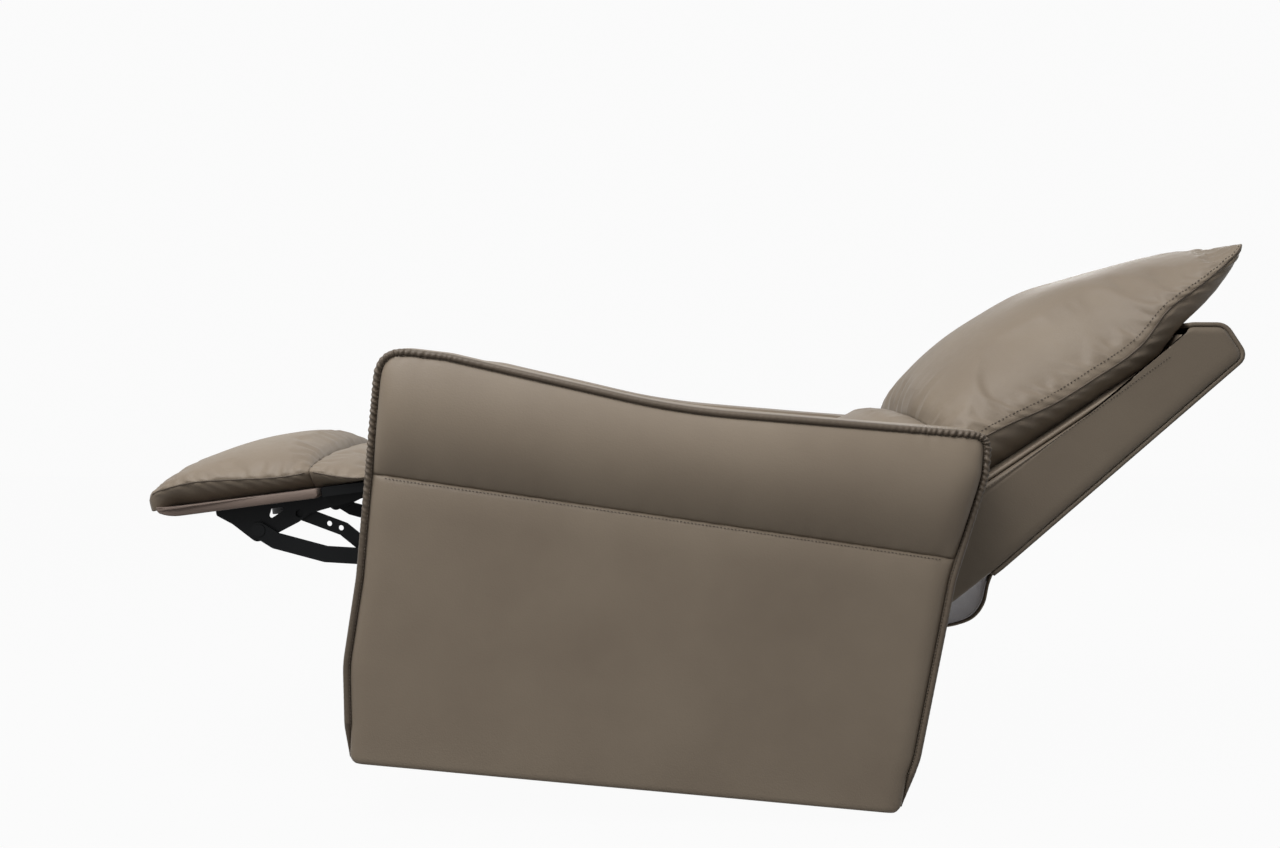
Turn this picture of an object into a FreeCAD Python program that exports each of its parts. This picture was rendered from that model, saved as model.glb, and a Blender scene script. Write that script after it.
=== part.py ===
import FreeCAD, Part
import math
import os

os.makedirs("parts", exist_ok=True)
V = FreeCAD.Vector

# A rocking recliner with footrest out and back down, in mm. +Z is up, the sitter looks
# along -Y and X runs across. Most pieces are drawn with the chair level and then leaned back.

# Rocking
ROCK_LEAN = 5.25
CAM_RADIUS = 520.0
CAM_HALF_LENGTH = 170.0
CAM_TOP = 120.0
CAM_X = 160.0
CAM_WIDTH = 24.0
CAM_GAP = 0.3

# Base
GLIDE_HEIGHT = 12.0
GLIDE_RADIUS = 20.0
RUNNER_WIDTH = 30.0
RUNNER_HEIGHT = 38.0
RUNNER_HALF_LENGTH = 210.0
RUNNER_REAR = 300.0
BASE_RAIL = 30.0
RUNNER_TOP = GLIDE_HEIGHT + RUNNER_HEIGHT
SEAT_GAP = 0.2

# Rocker springs
COIL_X = 124.0
COIL_Y = 30.0
COIL_RADIUS = 17.0
COIL_WIRE = 2.5
COIL_TURNS = 4
SPRING_PLATE = 6.0
SPRING_FOOT_TOP = GLIDE_HEIGHT + BASE_RAIL + SPRING_PLATE

# Sheet metal
PLATE = 4.0
LAYER = 6.0
ARM_INNER_X = 265.0
MECH_CLEARANCE = 15.0
MECH_X = ARM_INNER_X - MECH_CLEARANCE
LIFT_X = MECH_X - LAYER
GUIDE_X = LIFT_X - LAYER
LOWER_X = GUIDE_X - LAYER
BRACKET_X = LOWER_X - LAYER
UPPER_X = BRACKET_X - LAYER
PIN = 6.0
HUB_PIN = 8.0
RUNNING = 0.05
HEAD = 1.4

# Arms
ARM_WIDTH = 130.0
ARM_OUTER_X = ARM_INNER_X + ARM_WIDTH
ARM_SKIN = 12.0
BOLSTER_DEPTH = 23.0
LOWER_PANEL_DEPTH = 15.0
WELT_WIDTH = 11.0
WELT_DEPTH = 13.0
BOXING = 16.0
ARM_BOTTOM = 46.0
ARM_FRONT = -379.0
ARM_FRONT_TOP = 619.0
ARM_MID_TOP = 573.0
ARM_BACK = 469.0
ARM_BACK_LOW = 411.0
ARM_SEAM_FRONT = 444.0
ARM_SEAM_BACK = 398.5
ARM_RAIL = 45.0

# Seat
SEAT_RAIL_BOTTOM = 358.0
SEAT_RAIL_HEIGHT = 40.0
SEAT_RAIL_WIDTH = 30.0
SEAT_FRONT = -272.0
SEAT_REAR = 90.0
SEAT_WIRE = 2.0
SEAT_CLEARANCE = 7.0
SEAT_HALF_WIDTH = ARM_INNER_X - SEAT_CLEARANCE
LIP_FRONT = -366.0
LIP_BOTTOM = 450.0
SEAT_CROWN = 484.0

# Cross tubes
TUBE = 30.0
TUBE_FRONT_Y = -85.0
TUBE_REAR_Y = 130.0

# Back
BACK_HINGE = (235.0, 315.0)
BACK_LEAN = 43.0
BACK_RISE = 28.0
BACK_CLEARANCE = 9.0
BACK_HALF_WIDTH = ARM_INNER_X - BACK_CLEARANCE
SIDE_COVER = 6.7
BACK_RAIL = 20.0
BACK_SKIN = 7.0
BACK_START = 95.0
DECK_START = 145.0
SKIRT_LINE = 245.0
BACK_TOP = 741.0
DECK_LOW = -32.0
DECK_HIGH = -71.0
DECK_END = BACK_TOP - 75.0
LUMBAR_DEPTH = 138.0
PILLOW_START = 318.0
PILLOW_CROWN = 117.0
SOFT_GAP = 0.4

# Footrest
BOARD_END = (-471.0, 390.0)
BOARD_TILT = 12.7
BOARD_LENGTH = 226.0
BOARD = 14.0
FOOT_CLEARANCE = 4.0
PAD_OVERHANG = 3.0
CALF_BOARD_LENGTH = 66.0
FOOT_PAD_CROWN = 96.0
FOOT_PAD_HALF_WIDTH = ARM_INNER_X - FOOT_CLEARANCE
BOARD_HALF_WIDTH = FOOT_PAD_HALF_WIDTH - PAD_OVERHANG
FOOT_CLOSED_TURN = 77.3

# Pivots of the footrest linkage with the footrest out
LIFT_PIVOT = (-145.0, 330.0)
LOWER_PIVOT = (-369.0, 308.0)
FOOT_PIVOT = (-561.0, 331.0)
FOOT_PIVOT_CLOSED = (-260.0, 265.0)
UPPER_END = (-505.0, 361.0)
GUIDE_LEVER = 46.0
GUIDE_LEVER_TURN = 165.0
GUIDE_OFFSET = 171.1
LINK_HALF = 12.0

# Footrest drive
CRANK = 60.0
CRANK_PIN = 5.0
CRANK_X = 24.0
TUBE_RADIUS = 12.0
SCREW_RADIUS = 6.0
SCREW_DROP = 78.0
SLOT_CLEARANCE = 1.6
RAIL_FRONT = -215.0
GEARBOX_FRONT = 98.0


def polar(angle, length):
    return (length * math.cos(math.radians(angle)), length * math.sin(math.radians(angle)))


def heading(a, b):
    return math.degrees(math.atan2(b[1] - a[1], b[0] - a[0])) % 360.0


def gap(a, b):
    return math.hypot(b[0] - a[0], b[1] - a[1])


def step(a, angle, length):
    d = polar(angle, length)
    return (a[0] + d[0], a[1] + d[1])


def block(x0, x1, y0, y1, z0, z1):
    return Part.makeBox(x1 - x0, y1 - y0, z1 - z0, V(x0, y0, z0))


def rod(point, radius, x0, x1):
    return Part.makeCylinder(radius, x1 - x0, V(x0, point[0], point[1]), V(1, 0, 0))


def mirrored(shape):
    return shape.mirror(V(0, 0, 0), V(1, 0, 0))


def pair(shape):
    return Part.makeCompound([shape, mirrored(shape)])


def group(shapes):
    return Part.makeCompound(shapes)


def turned(shape, angle, about):
    out = shape.copy()
    out.rotate(V(0, about[0], about[1]), V(1, 0, 0), angle)
    return out


def placed(shape, angle, point):
    out = turned(shape, angle, (0.0, 0.0))
    out.translate(V(0, point[0], point[1]))
    return out


def corner_arc(before, here, after, radius):
    """Ends and middle of the round at one corner, kept within its two sides."""
    to_before = heading(here, before)
    to_after = heading(here, after)
    half = abs((to_after - to_before + 180.0) % 360.0 - 180.0) / 2.0
    room = 0.48 * min(gap(here, before), gap(here, after))
    run = min(radius / math.tan(math.radians(half)), room)
    start = step(here, to_before, run)
    end = step(here, to_after, run)
    middle = ((start[0] + end[0]) / 2.0, (start[1] + end[1]) / 2.0)
    reach = run / math.cos(math.radians(half))
    size = run * math.tan(math.radians(half))
    return start, step(here, heading(here, middle), reach - size), end


def outline(corners, x):
    """Closed wire across X through (y, z, radius) corners."""
    points = [(c[0], c[1]) for c in corners]
    edges = []
    first = last = None
    for i, c in enumerate(corners):
        here = points[i]
        ends = (here, None, here)
        if c[2] > 0:
            ends = corner_arc(points[i - 1], here, points[(i + 1) % len(points)], c[2])
        a, m, b = [p and V(x, p[0], p[1]) for p in ends]
        if last is not None:
            edges.append(Part.makeLine(last, a))
        if m:
            edges.append(Part.Arc(a, m, b).toShape())
        first = first or a
        last = b
    edges.append(Part.makeLine(last, first))
    return Part.Wire(edges)


def plate(corners, x0, x1):
    return Part.Face(outline(corners, x0)).extrude(V(x1 - x0, 0, 0))


def inset_plate(corners, inset, x0, x1):
    wire = outline(corners, x0).makeOffset2D(-inset)
    return Part.Face(wire).extrude(V(x1 - x0, 0, 0))


def link(points, half, x0, x1):
    """Flat bar with round ends along a run of pivots and bends."""
    body = rod(points[0], half, x0, x1)
    for a, b in zip(points, points[1:]):
        bar = block(x0, x1, 0.0, gap(a, b), -half, half)
        body = body.fuse([placed(bar, heading(a, b), a), rod(b, half, x0, x1)])
    return body.removeSplitter()


def pad_section(y, half, bottom, seam, crown):
    """Outline of a cushion across X: flat underside, drawn-in sides, crowned top."""
    tuck = 14.0
    shoulder = 0.3 * half
    drop = 0.14 * (crown - seam)
    low = [V(-half + tuck, y, bottom), V(half - tuck, y, bottom)]
    side = V(half, y, seam)
    top = V(half - shoulder, y, crown - drop)
    bulge = V(half - 0.22 * shoulder, y, seam + 0.62 * (crown - drop - seam))
    flip = lambda p: V(-p.x, p.y, p.z)
    return Part.Wire([
        Part.makeLine(low[0], low[1]),
        Part.makeLine(low[1], side),
        Part.Arc(side, bulge, top).toShape(),
        Part.Arc(top, V(0, y, crown), flip(top)).toShape(),
        Part.Arc(flip(top), flip(bulge), flip(side)).toShape(),
        Part.makeLine(flip(side), low[0]),
    ])


def pad(stations):
    return Part.makeLoft([pad_section(*s) for s in stations], True, False)


def tube_along(edges, radius):
    path = Part.Wire(edges)
    start = path.Edges[0].valueAt(path.Edges[0].FirstParameter)
    along = path.Edges[0].tangentAt(path.Edges[0].FirstParameter)
    ring = Part.Wire(Part.makeCircle(radius, start, along))
    return path.makePipeShell([ring], True, False)


def sinuous(x, y0, y1, z, width, runs, radius):
    """Zigzag wire spring lying across X between two rails."""
    pitch = (y1 - y0) / runs
    half = width / 2.0 - pitch / 2.0
    edges = []
    side = 1.0
    here = V(x - half, y0, z)
    for i in range(runs):
        turn = V(x + side * half, here.y, z)
        edges.append(Part.makeLine(here, turn))
        end = V(turn.x, turn.y + pitch, z)
        mid = V(turn.x + side * pitch / 2.0, turn.y + pitch / 2.0, z)
        edges.append(Part.Arc(turn, mid, end).toShape())
        here = end
        side = -side
    edges.append(Part.makeLine(here, V(x + side * half, here.y, z)))
    return tube_along(edges, radius)


def coil(x, y, z0, z1):
    """Round wire spring of quarter-turn arcs."""
    quarter = 90.0
    count = 4 * COIL_TURNS

    def at(i):
        across, along = polar(quarter * i, COIL_RADIUS)
        return V(x + across, y + along, z0 + (z1 - z0) * i / count)

    edges = [Part.Arc(at(i), at(i + 0.5), at(i + 1)).toShape() for i in range(count)]
    return tube_along(edges, COIL_WIRE)


def motor_pod(x, y, z):
    """Vibration motor: round can on a square foot, standing on z."""
    foot = block(x - 26, x + 26, y - 20, y + 20, z, z + 3)
    return foot.fuse(Part.makeCylinder(17, 22, V(x, y, z + 2))).removeSplitter()


# Linkage, solved for both ends of the travel

def meet(a, ra, b, rb):
    """Where circles about a and b cross, on the left of the line from a to b."""
    d = gap(a, b)
    along = (ra * ra - rb * rb + d * d) / (2.0 * d)
    return step(step(a, heading(a, b), along), heading(a, b) + 90.0, math.sqrt(ra * ra - along * along))


def equal_reach(p, q, offset):
    """Point on the bisector of p and q, at the offset from their middle."""
    middle = ((p[0] + q[0]) / 2.0, (p[1] + q[1]) / 2.0)
    return step(middle, heading(p, q) + 90.0, offset)


LIFT = gap(LIFT_PIVOT, LOWER_PIVOT)
LOWER = gap(LOWER_PIVOT, FOOT_PIVOT)
lower_closed = meet(LIFT_PIVOT, LIFT, FOOT_PIVOT_CLOSED, LOWER)
LIFT_OUT = heading(LIFT_PIVOT, LOWER_PIVOT)
LIFT_TURN = (heading(LIFT_PIVOT, lower_closed) - LIFT_OUT) % 360.0
LOWER_OUT = heading(LOWER_PIVOT, FOOT_PIVOT)
LOWER_TURN = heading(lower_closed, FOOT_PIVOT_CLOSED) - LOWER_OUT
GUIDE_END = step(LOWER_PIVOT, LOWER_OUT + GUIDE_LEVER_TURN, GUIDE_LEVER)
guide_closed = step(lower_closed, LOWER_OUT + LOWER_TURN + GUIDE_LEVER_TURN, GUIDE_LEVER)
GUIDE_PIVOT = equal_reach(GUIDE_END, guide_closed, GUIDE_OFFSET)
GUIDE_TURN = (heading(GUIDE_PIVOT, guide_closed) - heading(GUIDE_PIVOT, GUIDE_END)) % 360.0


def from_lift(point, turn):
    """Distance along and across the lift arm of a point, with the arm turned."""
    angle = heading(LIFT_PIVOT, point) - LIFT_OUT - turn
    return polar(angle, gap(LIFT_PIVOT, point))


upper_reach = gap(FOOT_PIVOT, UPPER_END)
upper_heading = heading(FOOT_PIVOT, UPPER_END)
upper_closed = step(FOOT_PIVOT_CLOSED, upper_heading + FOOT_CLOSED_TURN, upper_reach)
p_out = from_lift(UPPER_END, 0.0)
p_in = from_lift(upper_closed, LIFT_TURN)
spread = p_out[0] ** 2 + p_out[1] ** 2 - p_in[0] ** 2 - p_in[1] ** 2
UPPER_ALONG = spread / (2.0 * (p_out[0] - p_in[0]))
UPPER_PIVOT = step(LIFT_PIVOT, LIFT_OUT, UPPER_ALONG)
on_lift = (UPPER_ALONG, 0.0)
UPPER_TURN = (heading(on_lift, p_in) - heading(on_lift, p_out)) % 360.0 - 360.0
NUT_TRAVEL = 2.0 * CRANK * math.sin(math.radians(LIFT_TURN / 2.0))


# Base

def runners():
    y = RUNNER_HALF_LENGTH
    x0 = CAM_X - RUNNER_WIDTH / 2.0
    return pair(block(x0, x0 + RUNNER_WIDTH, -y, RUNNER_REAR, GLIDE_HEIGHT, RUNNER_TOP))


def base_rails():
    x = CAM_X - RUNNER_WIDTH / 2.0 - SEAT_GAP
    half = BASE_RAIL / 2.0
    end = RUNNER_HALF_LENGTH - BASE_RAIL
    rails = []
    for y in (-end, 0.0, end):
        rails.append(block(-x, x, y - half, y + half, GLIDE_HEIGHT, GLIDE_HEIGHT + BASE_RAIL))
    return group(rails)


def glides():
    front, rear = -0.55 * RUNNER_HALF_LENGTH, RUNNER_REAR - 35.0
    spots = [(0.0, 0.0), (CAM_X, rear), (-CAM_X, rear), (CAM_X, front), (-CAM_X, front)]
    height = GLIDE_HEIGHT - SEAT_GAP
    return group([Part.makeCylinder(GLIDE_RADIUS, height, V(x, y, 0)) for x, y in spots])


def spring_feet():
    reach = COIL_Y + COIL_RADIUS + 8.0
    x1 = CAM_X - RUNNER_WIDTH / 2.0 - SEAT_GAP
    top = SPRING_FOOT_TOP
    return pair(block(COIL_X - COIL_RADIUS - 4.0, x1, -reach, reach, top - SPRING_PLATE + SEAT_GAP, top))


# Rocker and chassis

def rocker_cams():
    rise = CAM_RADIUS * (1.0 - math.cos(math.radians(ROCK_LEAN)))
    low = RUNNER_TOP + (CAM_GAP + rise) / math.cos(math.radians(ROCK_LEAN))
    x0 = CAM_X - CAM_WIDTH / 2.0
    body = block(x0, x0 + CAM_WIDTH, -CAM_HALF_LENGTH, CAM_HALF_LENGTH, low, CAM_TOP)
    return pair(body.common(rod((0.0, low + CAM_RADIUS), CAM_RADIUS, x0, x0 + CAM_WIDTH)))


def spring_plates():
    reach = COIL_Y + COIL_RADIUS + 8.0
    x1 = CAM_X - CAM_WIDTH / 2.0 - SEAT_GAP
    return pair(block(COIL_X - COIL_RADIUS - 4.0, x1, -reach, reach, CAM_TOP - SPRING_PLATE, CAM_TOP))


def rocker_springs():
    """Coils from the base to the leaned-back upper plates."""
    shift = (CAM_TOP - RUNNER_TOP) * math.sin(math.radians(ROCK_LEAN))
    coils = []
    for y in (-COIL_Y, COIL_Y):
        top = CAM_TOP - SPRING_PLATE - y * math.sin(math.radians(ROCK_LEAN)) - COIL_WIRE - 2.0
        coils.append(coil(COIL_X, y + shift / 2.0, SPRING_FOOT_TOP + COIL_WIRE + SEAT_GAP, top))
    return pair(group(coils))


def cross_tubes():
    x = MECH_X - SEAT_GAP
    z = CAM_TOP + SEAT_GAP
    half = TUBE / 2.0
    return group([block(-x, x, y - half, y + half, z, z + TUBE) for y in (TUBE_FRONT_Y, TUBE_REAR_Y)])


def mechanism_plates():
    top = SEAT_RAIL_BOTTOM + SEAT_RAIL_HEIGHT - 3.0
    y, z = BACK_HINGE
    shape = plate([
        (SEAT_FRONT + 5.0, top, 8.0),
        (SEAT_FRONT + 5.0, SEAT_RAIL_BOTTOM, 8.0),
        (GUIDE_PIVOT[0] - 30.0, GUIDE_PIVOT[1] - 5.0, 20.0),
        (GUIDE_PIVOT[0] + 5.0, GUIDE_PIVOT[1] - 35.0, 20.0),
        (TUBE_FRONT_Y - 30.0, CAM_TOP + TUBE, 25.0),
        (TUBE_FRONT_Y - 22.0, CAM_TOP - 8.0, 8.0),
        (TUBE_REAR_Y + 22.0, CAM_TOP - 8.0, 8.0),
        (TUBE_REAR_Y + 30.0, z - 45.0, 30.0),
        (y + 24.0, z - 24.0, 23.0),
        (y + 24.0, z + 22.0, 22.0),
        (SEAT_REAR + 15.0, z + 15.0, 20.0),
        (SEAT_REAR, top, 8.0),
    ], MECH_X, MECH_X + PLATE)
    for point, radius in ((LIFT_PIVOT, HUB_PIN), (GUIDE_PIVOT, PIN)):
        shape = shape.cut(rod(point, radius + RUNNING, MECH_X, MECH_X + PLATE))
    stud = rod(BACK_HINGE, HUB_PIN, MECH_X - LAYER - HEAD, MECH_X + 1.0)
    head = rod(BACK_HINGE, HUB_PIN + 4.0, MECH_X - LAYER - HEAD, MECH_X - LAYER - 0.1)
    return pair(shape.fuse([stud, head]).removeSplitter())


def arm_spacers():
    x0 = MECH_X + PLATE + SEAT_GAP
    x1 = ARM_INNER_X - SEAT_GAP
    spots = [(SEAT_FRONT + 60.0, 378.0), (40.0, 378.0), (20.0, 200.0)]
    return pair(group([rod(s, 18.0, x0, x1) for s in spots]))


# Arms

def arm_corners(drop=0.0):
    """Side of the arm from its lower front round to its lower back."""
    bottom = ARM_BOTTOM - drop
    return [
        (ARM_FRONT + 14.0 + 0.24 * drop, bottom, 14.0),
        (ARM_FRONT + 2.0, ARM_BOTTOM + 50.0, 120.0),
        (ARM_FRONT - 8.0, ARM_BOTTOM + 135.0, 160.0),
        (ARM_FRONT - 1.0, ARM_BOTTOM + 255.0, 160.0),
        (ARM_FRONT - 3.0, ARM_FRONT_TOP, 45.0),
        (ARM_FRONT + 74.0, ARM_FRONT_TOP - 1.0, 120.0),
        (40.0, ARM_MID_TOP, 1100.0),
        (ARM_BACK, ARM_MID_TOP + 4.0, 40.0),
        (ARM_BACK - 1.0, ARM_MID_TOP - 58.0, 60.0),
        (ARM_BACK - 32.0, ARM_MID_TOP - 202.0, 120.0),
        (ARM_BACK_LOW, ARM_BOTTOM + 79.0, 80.0),
        (ARM_BACK_LOW - 21.0 - 0.266 * drop, bottom, 12.0),
    ]


FRAME_X0 = ARM_INNER_X + ARM_SKIN
FRAME_X1 = ARM_OUTER_X - BOLSTER_DEPTH


def arm_inner_pads():
    return pair(inset_plate(arm_corners(), 2.0, ARM_INNER_X, FRAME_X0 - SEAT_GAP))


def arm_boxing():
    shell = plate(arm_corners(), FRAME_X0, FRAME_X1)
    return shell.cut(inset_plate(arm_corners(), BOXING, FRAME_X0, FRAME_X1))


def arm_frames():
    outer = inset_plate(arm_corners(), BOXING + SEAT_GAP, FRAME_X0, FRAME_X1 - SEAT_GAP)
    return pair(outer.cut(inset_plate(arm_corners(), BOXING + ARM_RAIL, FRAME_X0, FRAME_X1)))


def above_seam(y0, y1, lift):
    """Everything over the sewn seam that crosses the arm's outer face."""
    slope = (ARM_SEAM_BACK - ARM_SEAM_FRONT) / (ARM_BACK - ARM_FRONT)
    corners = []
    for y in (y0, y1):
        corners.append((y, ARM_SEAM_FRONT + slope * (y - ARM_FRONT) + lift, 0.0))
    corners += [(y1, ARM_FRONT_TOP + 100.0, 0.0), (y0, ARM_FRONT_TOP + 100.0, 0.0)]
    return plate(corners, FRAME_X1 - 5.0, ARM_OUTER_X + 5.0)


def softened(shape, x, radius):
    """Round the outer rim of a panel that faces X."""
    rim = [e for e in shape.Edges if e.BoundBox.XMin > x - 0.01]
    return shape.makeFillet(radius, rim)


def arm_upper_panel():
    body = inset_plate(arm_corners(WELT_WIDTH), WELT_WIDTH + SEAT_GAP, FRAME_X1, ARM_OUTER_X)
    body = body.common(above_seam(ARM_FRONT - 50.0, ARM_BACK + 50.0, SEAT_GAP))
    return softened(body, ARM_OUTER_X, 0.75 * BOLSTER_DEPTH)


def arm_lower_panel():
    x1 = FRAME_X1 + LOWER_PANEL_DEPTH
    body = inset_plate(arm_corners(WELT_WIDTH), WELT_WIDTH + SEAT_GAP, FRAME_X1, x1)
    body = body.cut(above_seam(ARM_FRONT - 50.0, ARM_BACK + 50.0, 0.0))
    return softened(body, x1, 0.5 * LOWER_PANEL_DEPTH)


def arm_welt():
    x1 = FRAME_X1 + WELT_DEPTH
    band = plate(arm_corners(), FRAME_X1, x1).cut(inset_plate(arm_corners(), WELT_WIDTH, FRAME_X1, x1))
    below = block(FRAME_X1, x1, ARM_FRONT - 50.0, ARM_BACK + 50.0, 0.0, ARM_BOTTOM + 30.0)
    return softened(band.cut(below), x1, 3.0)


def rear_valance():
    x = ARM_INNER_X - SEAT_GAP
    y = ARM_BACK_LOW - 46.0
    return block(-x, x, y, y + 15.0, ARM_BOTTOM + 24.0, BACK_HINGE[1] - 30.0)


# Seat

def seat_side_rails():
    x1 = MECH_X - SEAT_GAP
    z = SEAT_RAIL_BOTTOM
    return pair(block(x1 - SEAT_RAIL_WIDTH, x1, SEAT_FRONT, SEAT_REAR, z, z + SEAT_RAIL_HEIGHT))


def seat_cross_rail(y):
    x = MECH_X - 2.0 * SEAT_GAP - SEAT_RAIL_WIDTH
    z = SEAT_RAIL_BOTTOM
    return block(-x, x, y, y + SEAT_RAIL_WIDTH, z, z + SEAT_RAIL_HEIGHT)


def seat_springs():
    z = SEAT_RAIL_BOTTOM + SEAT_RAIL_HEIGHT + SEAT_WIRE + SEAT_GAP
    y0 = SEAT_FRONT + SEAT_RAIL_WIDTH / 2.0
    y1 = SEAT_REAR - SEAT_RAIL_WIDTH / 2.0
    return group([sinuous(x, y0, y1, z, 62.0, 12, SEAT_WIRE) for x in (-150.0, -50.0, 50.0, 150.0)])


def seat_cushion():
    low = SEAT_RAIL_BOTTOM + SEAT_RAIL_HEIGHT + 2.0 * SEAT_WIRE + 2.0 * SEAT_GAP
    w = SEAT_HALF_WIDTH
    top = SEAT_CROWN
    body = pad([
        (LIP_FRONT, w - 12.0, low, top - 18.0, top - 13.0),
        (LIP_FRONT + 12.0, w - 4.0, low, top - 22.0, top - 4.0),
        (LIP_FRONT + 80.0, w, low, top - 28.0, top + 1.0),
        (-140.0, w - 3.0, low, top - 34.0, top),
        (20.0, w - 3.0, low, top - 40.0, top - 8.0),
        (110.0, w, low, top - 44.0, top - 14.0),
        (165.0, w - 8.0, low, top - 44.0, top - 24.0),
    ])
    step_cut = block(-w - 20.0, w + 20.0, LIP_FRONT - 20.0, SEAT_FRONT - 3.0, low - 20.0, LIP_BOTTOM)
    room = block(-w - 20.0, w + 20.0, -200.0, 400.0, -200.0, LUMBAR_DEPTH + 4.0)
    return body.cut(step_cut).cut(placed(room, BACK_LEAN + BACK_RISE, BACK_HINGE))


# Back, drawn flat with Y up the back and Z toward the sitter, hinge at the origin

def shell_corners():
    return [
        (BACK_START, DECK_LOW, 8.0),
        (BACK_START + 12.0, -112.0, 20.0),
        (170.0, -156.0, 30.0),
        (266.0, -156.0, 60.0),
        (BACK_TOP - 4.0, -131.0, 14.0),
        (BACK_TOP, -80.0, 20.0),
        (BACK_TOP - 41.0, -48.0, 10.0),
        (DECK_END, DECK_HIGH, 10.0),
    ]


COVER_X = BACK_HALF_WIDTH - SIDE_COVER


def back_side_cover():
    return softened(plate(shell_corners(), COVER_X, BACK_HALF_WIDTH), BACK_HALF_WIDTH, 4.0)


HINGE_X = MECH_X - LAYER + 0.5


def back_side_rails():
    x1 = HINGE_X - SEAT_GAP
    return pair(inset_plate(shell_corners(), 8.0, x1 - BACK_RAIL, x1))


def back_hinges():
    x1 = HINGE_X + PLATE
    shape = link([(0.0, 0.0), (60.0, -55.0), (BACK_START + 150.0, -80.0)], 22.0, HINGE_X, x1)
    return pair(shape.cut(rod((0.0, 0.0), HUB_PIN + RUNNING, HINGE_X, x1)))


DECK_SLOPE = (DECK_HIGH - DECK_LOW) / (DECK_END - BACK_START)


def front_line(y):
    """Front of the shell at a height up the back."""
    return DECK_LOW + DECK_SLOPE * (y - BACK_START)


def back_cross_rails():
    x = HINGE_X - 2.0 * SEAT_GAP - BACK_RAIL
    rails = []
    for y in (BACK_START + 45.0, 400.0, BACK_TOP - 90.0):
        z = front_line(y) - 36.0
        rails.append(block(-x, x, y - 22.0, y + 22.0, z - 20.0, z))
    return group(rails)


def back_springs():
    z = front_line(BACK_START + 45.0) - 34.0
    end = BACK_TOP - 90.0
    slope = math.degrees(math.atan(DECK_SLOPE))
    length = end - BACK_START - 45.0
    wires = group([sinuous(x, 0.0, length, 0.0, 62.0, 16, SEAT_WIRE) for x in (-165.0, 0.0, 165.0)])
    return placed(wires, slope, (BACK_START + 45.0, z + SEAT_GAP + 1.6))


def back_massagers():
    pods = []
    for y in (BACK_START + 45.0, 400.0):
        for x in (-82.0, 82.0):
            pods.append(motor_pod(x, y, front_line(y) - 36.0 + SEAT_GAP))
    return group(pods)


def shell_skin():
    """Hollow wedge between the side covers, one skin thick."""
    x = COVER_X - SEAT_GAP
    return plate(shell_corners(), -x, x).cut(inset_plate(shell_corners(), BACK_SKIN, -x, x))


def back_cover():
    x = COVER_X
    rear = block(-x, x, SKIRT_LINE, BACK_TOP + 10.0, -170.0, -120.0)
    top = block(-x, x, BACK_TOP - 45.0, BACK_TOP + 10.0, -170.0, 0.0)
    return shell_skin().common(rear.fuse(top))


def back_deck():
    x = COVER_X
    return shell_skin().common(block(-x, x, DECK_START, BACK_TOP - 45.0 - SEAT_GAP, -100.0, 0.0))


def on_deck(y):
    return front_line(y) + SOFT_GAP


def lumbar_cushion():
    d = LUMBAR_DEPTH
    w = BACK_HALF_WIDTH
    return pad([
        (-34.0, w - 30.0, 12.0, 60.0, d - 14.0),
        (-18.0, w - 20.0, -2.0, 66.0, d - 3.0),
        (50.0, w - 16.0, -14.0, 60.0, d),
        (120.0, w - 4.0, on_deck(120.0) + 5.0, 40.0, d - 3.0),
        (200.0, w - 1.0, on_deck(200.0) + 0.3, 22.0, d - 8.0),
        (262.0, w - 1.0, on_deck(262.0) + 0.2, 12.0, d - 20.0),
        (300.0, w - 6.0, on_deck(300.0) + 0.2, 10.0, d - 34.0),
        (PILLOW_START - 1.0, w - 20.0, on_deck(300.0) + 4.0, 24.0, d - 56.0),
    ])


def head_pillow():
    c = PILLOW_CROWN
    w = BACK_HALF_WIDTH
    return pad([
        (PILLOW_START, w - 20.0, on_deck(PILLOW_START) + 8.0, 24.0, c - 37.0),
        (PILLOW_START + 16.0, w - 5.0, on_deck(PILLOW_START) + 3.0, 15.0, c - 17.0),
        (BACK_TOP - 346.0, w, on_deck(BACK_TOP - 346.0) + 3.0, 2.0, c - 4.0),
        (BACK_TOP - 271.0, w - 2.0, on_deck(BACK_TOP - 271.0) + 3.0, -16.0, c),
        (BACK_TOP - 201.0, w - 4.0, on_deck(BACK_TOP - 201.0) + 3.0, -24.0, c - 5.0),
        (BACK_TOP - 111.0, w - 4.0, on_deck(BACK_TOP - 111.0) + 6.0, -27.0, c - 19.0),
        (BACK_TOP - 51.0, w - 1.0, -44.0, -10.0, c - 42.0),
        (BACK_TOP + 9.0, w, -32.0, -10.0, c - 65.0),
        (BACK_TOP + 59.0, w - 2.0, -18.0, -8.0, c - 89.0),
        (BACK_TOP + 82.0, w - 10.0, -9.0, -4.0, c - 108.0),
    ])


def beside(points, offset):
    """The same run of points, moved sideways."""
    moved = []
    for i, p in enumerate(points):
        along = heading(points[max(i - 1, 0)], points[min(i + 1, len(points) - 1)])
        moved.append(step(p, along - 90.0, offset))
    return moved


def hanging_sheet(points, thickness, half):
    """Thin sheet across X that follows a run of points."""
    rows = []
    for run in (points, beside(points, thickness)):
        curve = Part.BSplineCurve()
        curve.interpolate([V(-half, p[0], p[1]) for p in run])
        rows.append(curve.toShape())
    near, far = rows
    ends = []
    for t, u in ((near.FirstParameter, far.FirstParameter), (near.LastParameter, far.LastParameter)):
        ends.append(Part.makeLine(near.valueAt(t), far.valueAt(u)))
    return Part.Face(Part.Wire([near, ends[1], far, ends[0]])).extrude(V(2.0 * half, 0, 0))


SKIRT = [
    (272.0, -158.8), (242.0, -175.0), (216.0, -196.0),
    (190.0, -203.0), (162.0, -195.0), (128.0, -176.0),
]
SKIRT_SHEET = 2.4
SKIRT_INSET = 34.0
LINING_SHEET = 1.4
LINING_GAP = 1.8


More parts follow.
